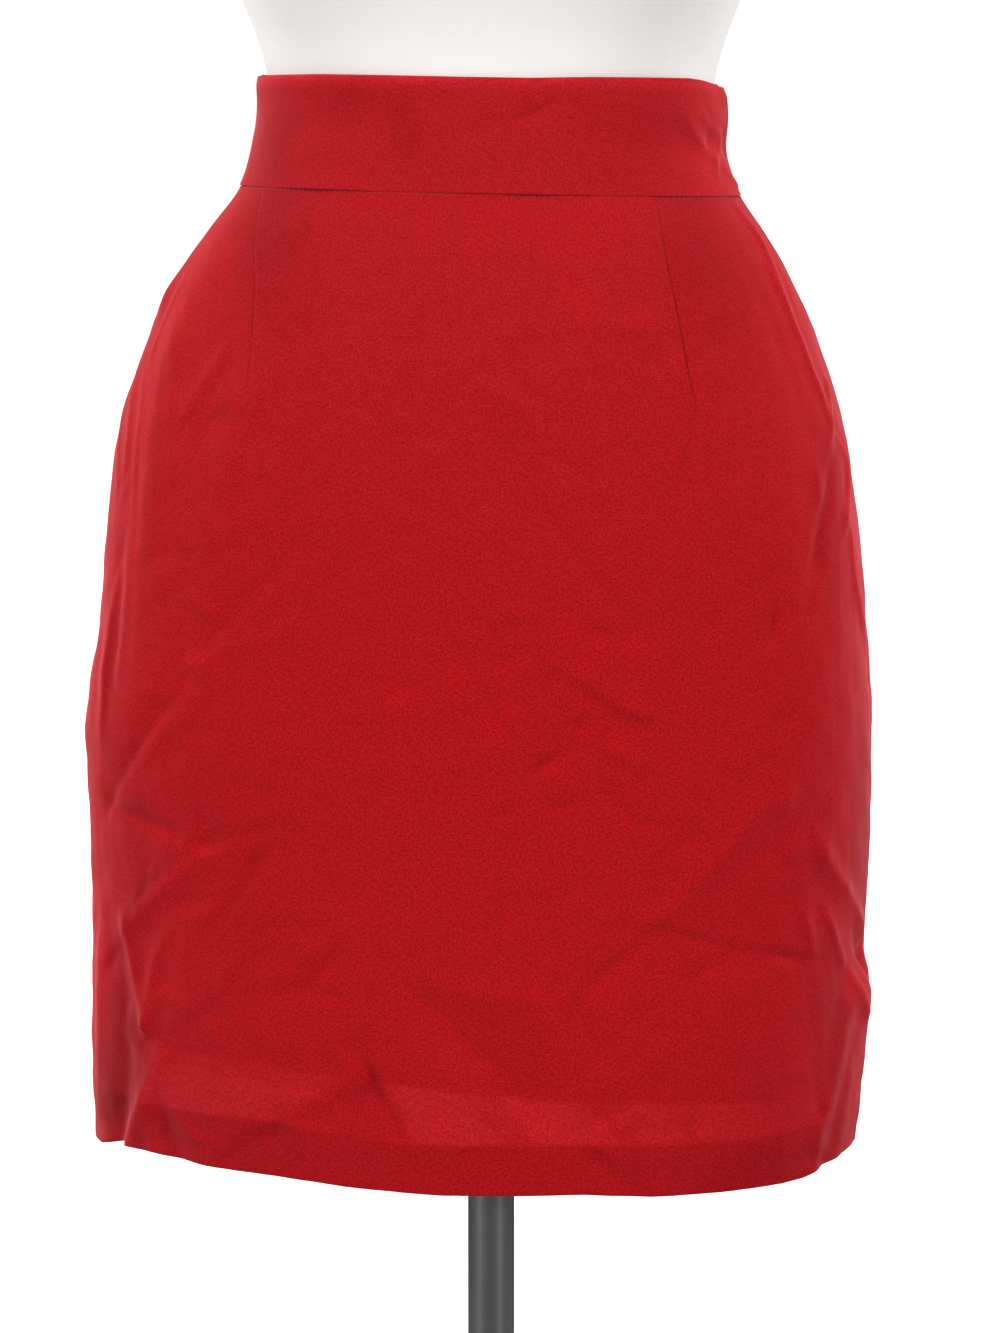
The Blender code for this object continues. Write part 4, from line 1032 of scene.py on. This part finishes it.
def arm_plate(name, side, material, segments=96):
    x0, cy, cz, half_y, half_z = ARM_X + 0.3, 5.0, SEAM_H + 328.0, 46.0, 55.0
    verts, faces = [], []
    profile = [(0.0, 2.0), (0.3, 0.9), (1.0, 0.2), (2.0, 0.0), (4.0, 0.0), (5.0, 0.25), (5.7, 0.9),
               (6.0, 2.0), (6.0, 7.0), (5.6, 7.6), (5.6, 20.0)]
    for depth, shrink in profile:
        verts += [(side * (x0 + depth), cy + (half_y - shrink) * math.cos(2 * math.pi * k / segments),
                   cz + (half_z - shrink) * math.sin(2 * math.pi * k / segments)) for k in range(segments)]
    for i in range(len(profile) - 1):
        for k in range(segments):
            n = (k + 1) % segments
            quad = (i * segments + k, i * segments + n, (i + 1) * segments + n, (i + 1) * segments + k)
            faces.append(quad if side > 0 else quad[::-1])
    for row, x, out in ((0, x0, False), (len(profile) - 1, x0 + 5.6, True)):
        centre = len(verts)
        verts.append((side * x, cy, cz))
        for k in range(segments):
            n = (k + 1) % segments
            tri = (row * segments + k, row * segments + n, centre)
            faces.append(tri if (side > 0) == out else tri[::-1])
    return new_object(name, verts, faces, material, sharp=32)


# --- materials --------------------------------------------------------------------------------
class Look:
    """A Principled material and short ways to add nodes to it."""

    def __init__(self, name, roughness=0.6, metallic=0.0, **sockets):
        self.material = bpy.data.materials.new(name)
        self.material.use_nodes = True
        self.nodes = self.material.node_tree.nodes
        self.links = self.material.node_tree.links
        self.shader = self.nodes["Principled BSDF"]
        self.shader.inputs["Roughness"].default_value = roughness
        self.shader.inputs["Metallic"].default_value = metallic
        for key, value in sockets.items():
            self.shader.inputs[key.replace("_", " ")].default_value = value

    def node(self, kind, inputs=None, **fields):
        n = self.nodes.new(kind)
        for key, value in fields.items():
            setattr(n, key, value)
        for key, value in (inputs or {}).items():
            if isinstance(value, bpy.types.NodeSocket):
                self.links.new(value, n.inputs[key])
            else:
                n.inputs[key].default_value = value
        return n

    def place(self, uv=None):
        if uv:
            return self.node("ShaderNodeUVMap", uv_map=uv).outputs["UV"]
        return self.node("ShaderNodeTexCoord").outputs["Object"]

    def noise(self, place, scale, detail=2.0, rough=0.5, **more):
        return self.node("ShaderNodeTexNoise", {"Vector": place, "Scale": scale, "Detail": detail,
                                               "Roughness": rough, **more}).outputs["Fac"]

    def maths(self, op, a, b=0.0, c=0.0):
        n = self.nodes.new("ShaderNodeMath")
        n.operation = op
        for k, v in enumerate((a, b, c)):
            if isinstance(v, bpy.types.NodeSocket):
                self.links.new(v, n.inputs[k])
            else:
                n.inputs[k].default_value = v
        return n.outputs[0]

    def spread(self, value, low, high, to_low, to_high):
        return self.node("ShaderNodeMapRange", {"Value": value, "From Min": low, "From Max": high,
                                               "To Min": to_low, "To Max": to_high}).outputs["Result"]

    def mix(self, factor, a, b, blend="MIX"):
        n = self.node("ShaderNodeMix", data_type="RGBA", blend_type=blend)
        for key, value in ((0, factor), (6, a), (7, b)):
            if isinstance(value, bpy.types.NodeSocket):
                self.links.new(value, n.inputs[key])
            elif key == 0:
                n.inputs[key].default_value = value
            else:
                n.inputs[key].default_value = (*value, 1.0)
        return n.outputs[2]

    def colour(self, socket):
        self.links.new(socket, self.shader.inputs["Base Color"])

    def rough(self, socket):
        self.links.new(socket, self.shader.inputs["Roughness"])

    def bump(self, height, distance, strength=1.0):
        n = self.node("ShaderNodeBump", {"Height": height, "Distance": distance, "Strength": strength})
        self.links.new(n.outputs["Normal"], self.shader.inputs["Normal"])


def red_crepe():
    """Plain-woven wool crepe: a fine pebbled grain, matt, with a soft nap."""
    look = Look("red_crepe", roughness=0.88, Sheen_Weight=0.4, Sheen_Roughness=0.42,
                Sheen_Tint=(1.0, 0.26, 0.29, 1.0), Specular_IOR_Level=0.03)
    place = look.place("cloth")             # 1 unit is 100 mm
    pebble = look.noise(place, 105.0, 3.0, 0.65)
    along_warp = look.node("ShaderNodeMapping", {"Vector": place, "Scale": (150.0, 48.0, 1.0)}).outputs["Vector"]
    along_weft = look.node("ShaderNodeMapping", {"Vector": place, "Scale": (48.0, 150.0, 1.0)}).outputs["Vector"]
    slubs = look.maths("ADD", look.noise(along_warp, 1.0, 2.0), look.noise(along_weft, 1.0, 2.0))
    grain = look.maths("ADD", look.maths("MULTIPLY", pebble, 0.6), look.maths("MULTIPLY", slubs, 0.2))
    cloud = look.noise(place, 14.0, 3.0, 0.55)
    wide = look.noise(place, 2.6, 2.0, 0.5)
    threads = look.node("ShaderNodeTexWave", {"Vector": place, "Scale": 70.0, "Distortion": 2.5,
                                             "Detail": 1.0, "Detail Scale": 3.0},
                        wave_type="BANDS", bands_direction="X").outputs["Fac"]
    weft = look.node("ShaderNodeTexWave", {"Vector": place, "Scale": 64.0, "Distortion": 2.5,
                                          "Detail": 1.0, "Detail Scale": 3.0},
                     wave_type="BANDS", bands_direction="Y").outputs["Fac"]
    weave = look.maths("MULTIPLY", look.maths("ADD", threads, weft), 0.5)
    value = look.maths("ADD", look.spread(cloud, 0.3, 0.7, -0.042, 0.042),
                       look.spread(wide, 0.3, 0.7, -0.015, 0.015))
    # painted shade: a little deeper towards the hem
    low = look.node("ShaderNodeSeparateXYZ", {"Vector": place}).outputs["Y"]
    value = look.maths("ADD", value, look.spread(low, -4.6, 0.0, -0.045, 0.01))
    # painted light (+, as glow) and painted shade (-, as dark) from the mesh attribute, added to the cloth's value
    painted_light = look.node("ShaderNodeAttribute", attribute_name="painted_light").outputs["Fac"]
    speck = look.spread(look.noise(place, 40.0, 3.0, 0.7), 0.35, 0.7, 0.3, 1.8)
    glow = look.maths("MULTIPLY", look.maths("MAXIMUM", painted_light, 0.0), speck)
    dark = look.maths("MINIMUM", painted_light, 0.0)
    value = look.maths("ADD", value, look.maths("MULTIPLY", glow, 0.15))
    value = look.maths("ADD", value, look.maths("MULTIPLY", dark, 0.17))
    level = look.spread(value, -0.5, 0.5, 0.0, 1.0)
    # the threads' hollows keep the dye's deep red, and their crowns are paler
    fine = look.maths("ADD", look.spread(grain, 0.42, 0.58, 0.0, 1.0), look.spread(weave, 0.2, 0.8, -0.15, 0.15))
    hollow = look.mix(level, (0.15, 0.0001, 0.0004), (0.53, 0.0008, 0.0045))
    crown = look.mix(level, (0.22, 0.0046, 0.0072), (0.63, 0.0172, 0.0240))
    base = look.mix(fine, hollow, crown)
    # painted light: a breath of paler colour towards the waist, and where light is painted as coming through
    pale_light = look.maths("ADD", look.maths("MULTIPLY", glow, 0.010), look.spread(low, -2.2, 0.25, 0.0, 0.008))
    base = look.mix(pale_light, base, (0.70, 0.36, 0.44))
    look.colour(base)
    look.bump(look.maths("ADD", grain, look.maths("MULTIPLY", weave, 0.35)), 0.00012, 0.25)
    return look.material


def lining_satin():
    look = Look("red_lining", roughness=0.42, Sheen_Weight=0.1, Specular_IOR_Level=0.4)
    place = look.place()
    noise = look.noise(place, 60.0, 3.0)
    fine = look.node("ShaderNodeTexWave", {"Vector": place, "Scale": 900.0, "Distortion": 1.0},
                     wave_type="BANDS", bands_direction="Z").outputs["Fac"]
    look.colour(look.mix(look.spread(noise, 0.3, 0.7, 0.2, 0.8), (0.22, 0.004, 0.008), (0.34, 0.010, 0.016)))
    look.rough(look.spread(noise, 0.2, 0.8, 0.36, 0.5))
    look.bump(fine, 0.00003, 0.3)
    return look.material


def zip_cloth(name, low, high, roughness):
    look = Look(name, roughness=roughness)
    place = look.place()
    weave = look.node("ShaderNodeTexWave", {"Vector": place, "Scale": 520.0, "Distortion": 0.6},
                      wave_type="BANDS", bands_direction="Z").outputs["Fac"]
    noise = look.noise(place, 300.0, 2.0)
    look.colour(look.mix(look.maths("MULTIPLY", look.maths("ADD", weave, noise), 0.5), low, high))
    look.bump(weave, 0.00008, 0.6)
    return look.material


def thread_look():
    look = Look("red_thread", roughness=0.5, Sheen_Weight=0.1)
    twist = look.node("ShaderNodeTexWave", {"Vector": look.place(), "Scale": 900.0, "Distortion": 0.4},
                      wave_type="BANDS", bands_direction="DIAGONAL").outputs["Fac"]
    look.colour(look.mix(twist, (0.20, 0.004, 0.008), (0.34, 0.010, 0.015)))
    look.bump(twist, 0.00006, 0.6)
    return look.material


def cream_jersey():
    """Fine knitted cover: tiny columns of loops, pale cream."""
    look = Look("cream_jersey", roughness=0.85, Sheen_Weight=0.25, Sheen_Roughness=0.4,
                Specular_IOR_Level=0.2)
    place = look.place()
    ribs = look.node("ShaderNodeTexWave", {"Vector": place, "Scale": 260.0, "Distortion": 0.5, "Detail": 1.0},
                     wave_type="BANDS", bands_direction="X").outputs["Fac"]
    loops = look.node("ShaderNodeTexWave", {"Vector": place, "Scale": 330.0, "Distortion": 0.8, "Detail": 1.0},
                      wave_type="BANDS", bands_direction="Z").outputs["Fac"]
    knit = look.maths("MULTIPLY", ribs, loops)
    cloud = look.noise(place, 9.0, 3.0)
    shade = look.maths("ADD", look.spread(cloud, 0.3, 0.7, 0.2, 0.7), look.spread(knit, 0.0, 1.0, -0.15, 0.25))
    look.colour(look.mix(shade, (0.875, 0.860, 0.835), (0.950, 0.940, 0.920)))
    look.bump(knit, 0.00012, 0.5)
    return look.material


def steel(name, low, high, rough_low, rough_high, streaks, metallic=0.92, **sockets):
    """Dark plated steel; streaks > 0 draws its grain along the tube."""
    look = Look(name, roughness=rough_low, metallic=metallic, **sockets)
    place = look.place()
    if streaks:
        stretch = look.node("ShaderNodeMapping", {"Vector": place, "Scale": (streaks, streaks, 3.0)}).outputs["Vector"]
        grain = look.noise(stretch, 1.0, 4.0, 0.6)
    else:
        grain = look.noise(place, 220.0, 4.0, 0.6)
    cloud = look.noise(place, 18.0, 3.0)
    look.colour(look.mix(look.maths("MULTIPLY", look.maths("ADD", grain, cloud), 0.5), low, high))
    look.rough(look.spread(grain, 0.3, 0.7, rough_low, rough_high))
    look.bump(grain, 0.00004, 0.35)
    return look.material


def pale_floor():
    """White paper to look at, which throws less light back up on the cloth."""
    look = Look("pale_floor", roughness=0.95, Specular_IOR_Level=0.0)
    noise = look.noise(look.place(), 3.0, 2.0)
    seen = look.node("ShaderNodeLightPath").outputs["Is Camera Ray"]
    paper = look.mix(noise, (0.97, 0.97, 0.97), (0.985, 0.985, 0.985))
    look.colour(look.mix(seen, (0.34, 0.34, 0.34), paper))
    return look.material


CREPE = red_crepe()
SATIN = lining_satin()
TAPE = zip_cloth("zip_tape_red", (0.24, 0.006, 0.010), (0.36, 0.012, 0.018), 0.7)
COIL = zip_cloth("zip_coil_red", (0.22, 0.005, 0.008), (0.33, 0.010, 0.014), 0.35)
THREAD = thread_look()
JERSEY = cream_jersey()
PLATE = steel("plate_steel", (0.10, 0.10, 0.105), (0.17, 0.17, 0.175), 0.30, 0.46, 0)
POLE = steel("pole_steel", (0.078, 0.078, 0.080), (0.150, 0.150, 0.153), 0.38, 0.46, 900.0, 0.7,
             Specular_Tint=(0.25, 0.25, 0.25, 1.0))
FLOOR = pale_floor()

# --- build ---------------------------------------------------------------------------------------
front = panel_sheet("skirt_front", "front", (74, 120, 68), 2.3, 1.5, CREPE)
back = panel_sheet("skirt_back", "back", (84, 84, 80), 3.0, 2.2, CREPE)
band = waistband_sheet("waistband_cloth", CREPE)
lining = lining_sheet("skirt_lining", SATIN)
tape = zip_tape("zip_tapes", TAPE)
coil = zip_coil("zip_coil", COIL)

ditch = []
for panel in ("front", "back"):
    place = panel_arc(panel, 0.6)[1]
    run = np.arange(place[0] + 2, place[-1] - 2, 6.0)
    ditch.append((panel, [(a, 0.62, 0.06) for a in run]))
stitches = stitch_row("waist_stitches", ditch, THREAD, length=1.9, gap=1.0, thick=0.17)

torso = form_torso("form_body", JERSEY)
neck = SEAM_H + 470.3
neck_cap = turned("form_neck_plate", rounded((
    (0, neck), (53, neck), (55, neck + 2), (55, neck + 8), (51, neck + 12), (31, neck + 15),
    (29.5, neck + 14.6), (0, neck + 15.2)), 1.6), PLATE)
plate_left = arm_plate("form_plate_left", 1, PLATE)
plate_right = arm_plate("form_plate_right", -1, PLATE)
under = SEAM_H - 300.3
flange = turned("form_socket", rounded((
    (0, under), (43, under), (45, under - 2), (45, under - 5), (43, under - 6), (20, under - 8),
    (17, under - 12), (17, under - 44), (15.5, under - 46), (11.3, under - 46), (11.3, under - 6),
    (0, under - 6)), 1.2), PLATE)
pole = turned("stand_tube", rounded((
    (0, 8), (11, 8), (11, under - 6.3), (0, under - 6.3)), 1.0), POLE)
hub = 40.0
base = turned("stand_foot", rounded((
    (0, 0), (198.6, 0), (200, 1.2), (200, 4.2), (198, 6), (34, 6), (26, 10.5), (20.3, 18),
    (19, hub - 2), (17.5, hub), (11.3, hub), (11.3, 7.7), (0, 7.7)), 1.4), POLE, segments=160)

floor = new_object("floor", [(-60000, -60000, -0.3), (60000, -60000, -0.3), (60000, 60000, -0.3), (-60000, 60000, -0.3)],
                   [(0, 1, 2, 3)], FLOOR, smooth=False)

# --- what stands for what ----------------------------------------------------------------------------
for piece, slot, nodes in (
    (front, "skirt_cloth", ("front_panel",)),
    (back, "skirt_cloth", ("back_panel",)),
    (band, "skirt_cloth", ("waistband",)),
    (lining, "lining_cloth", ("lining",)),
    (tape, "zip_tape", ("side_zip",)),
    (coil, "zip_tape", ()),
    (stitches, "skirt_cloth", ()),
    (torso, "form_cover", ("form_torso",)),
    (neck_cap, "stand_metal", ("form_neck_cap",)),
    (plate_left, "stand_metal", ("form_arm_plate_left",)),
    (plate_right, "stand_metal", ("form_arm_plate_right",)),
    (flange, "stand_metal", ("form_flange",)),
    (pole, "stand_metal", ("stand_pole",)),
    (base, "stand_metal", ("stand_base",)),
):
    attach(piece, "root")
    if nodes:
        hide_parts(*nodes)

# --- light -------------------------------------------------------------------------------------------
# A white studio: the camera sees white all round, and less of it lights the cloth.
world = bpy.data.worlds.new("studio")
bpy.context.scene.world = world
world.use_nodes = True
tree = world.node_tree
sky = tree.nodes["Background"]
sky.inputs["Color"].default_value = (1.0, 1.0, 1.0, 1.0)
ray = tree.nodes.new("ShaderNodeLightPath")
way = tree.nodes.new("ShaderNodeTexCoord")
parts = tree.nodes.new("ShaderNodeSeparateXYZ")
tree.links.new(way.outputs["Generated"], parts.inputs["Vector"])
room = tree.nodes.new("ShaderNodeMapRange")
room.interpolation_type = "SMOOTHSTEP"
for key, value in (("From Min", -0.25), ("From Max", 0.55), ("To Min", AMBIENT), ("To Max", BACKDROP)):
    room.inputs[key].default_value = value
tree.links.new(parts.outputs["Y"], room.inputs["Value"])
level = tree.nodes.new("ShaderNodeMix")
level.inputs[3].default_value = 1.02
tree.links.new(ray.outputs["Is Camera Ray"], level.inputs[0])
tree.links.new(room.outputs["Result"], level.inputs[2])
tree.links.new(level.outputs[0], sky.inputs["Strength"])
bpy.context.scene.view_settings.view_transform = "Standard"

LIGHT_COLUMNS = ("name", "azimuth", "elevation", "angle", "strength")
for name, azimuth, elevation, angle, strength in LIGHTS:
    lamp = bpy.data.lights.new(name, "SUN")
    lamp.angle = math.radians(angle)
    lamp.energy = strength
    ob = bpy.data.objects.new(name, lamp)
    bpy.context.scene.collection.objects.link(ob)
    # azimuth 0 shines from the front, and + from the wearer's left
    ob.rotation_euler = (math.radians(90 - elevation), 0.0, math.radians(azimuth))
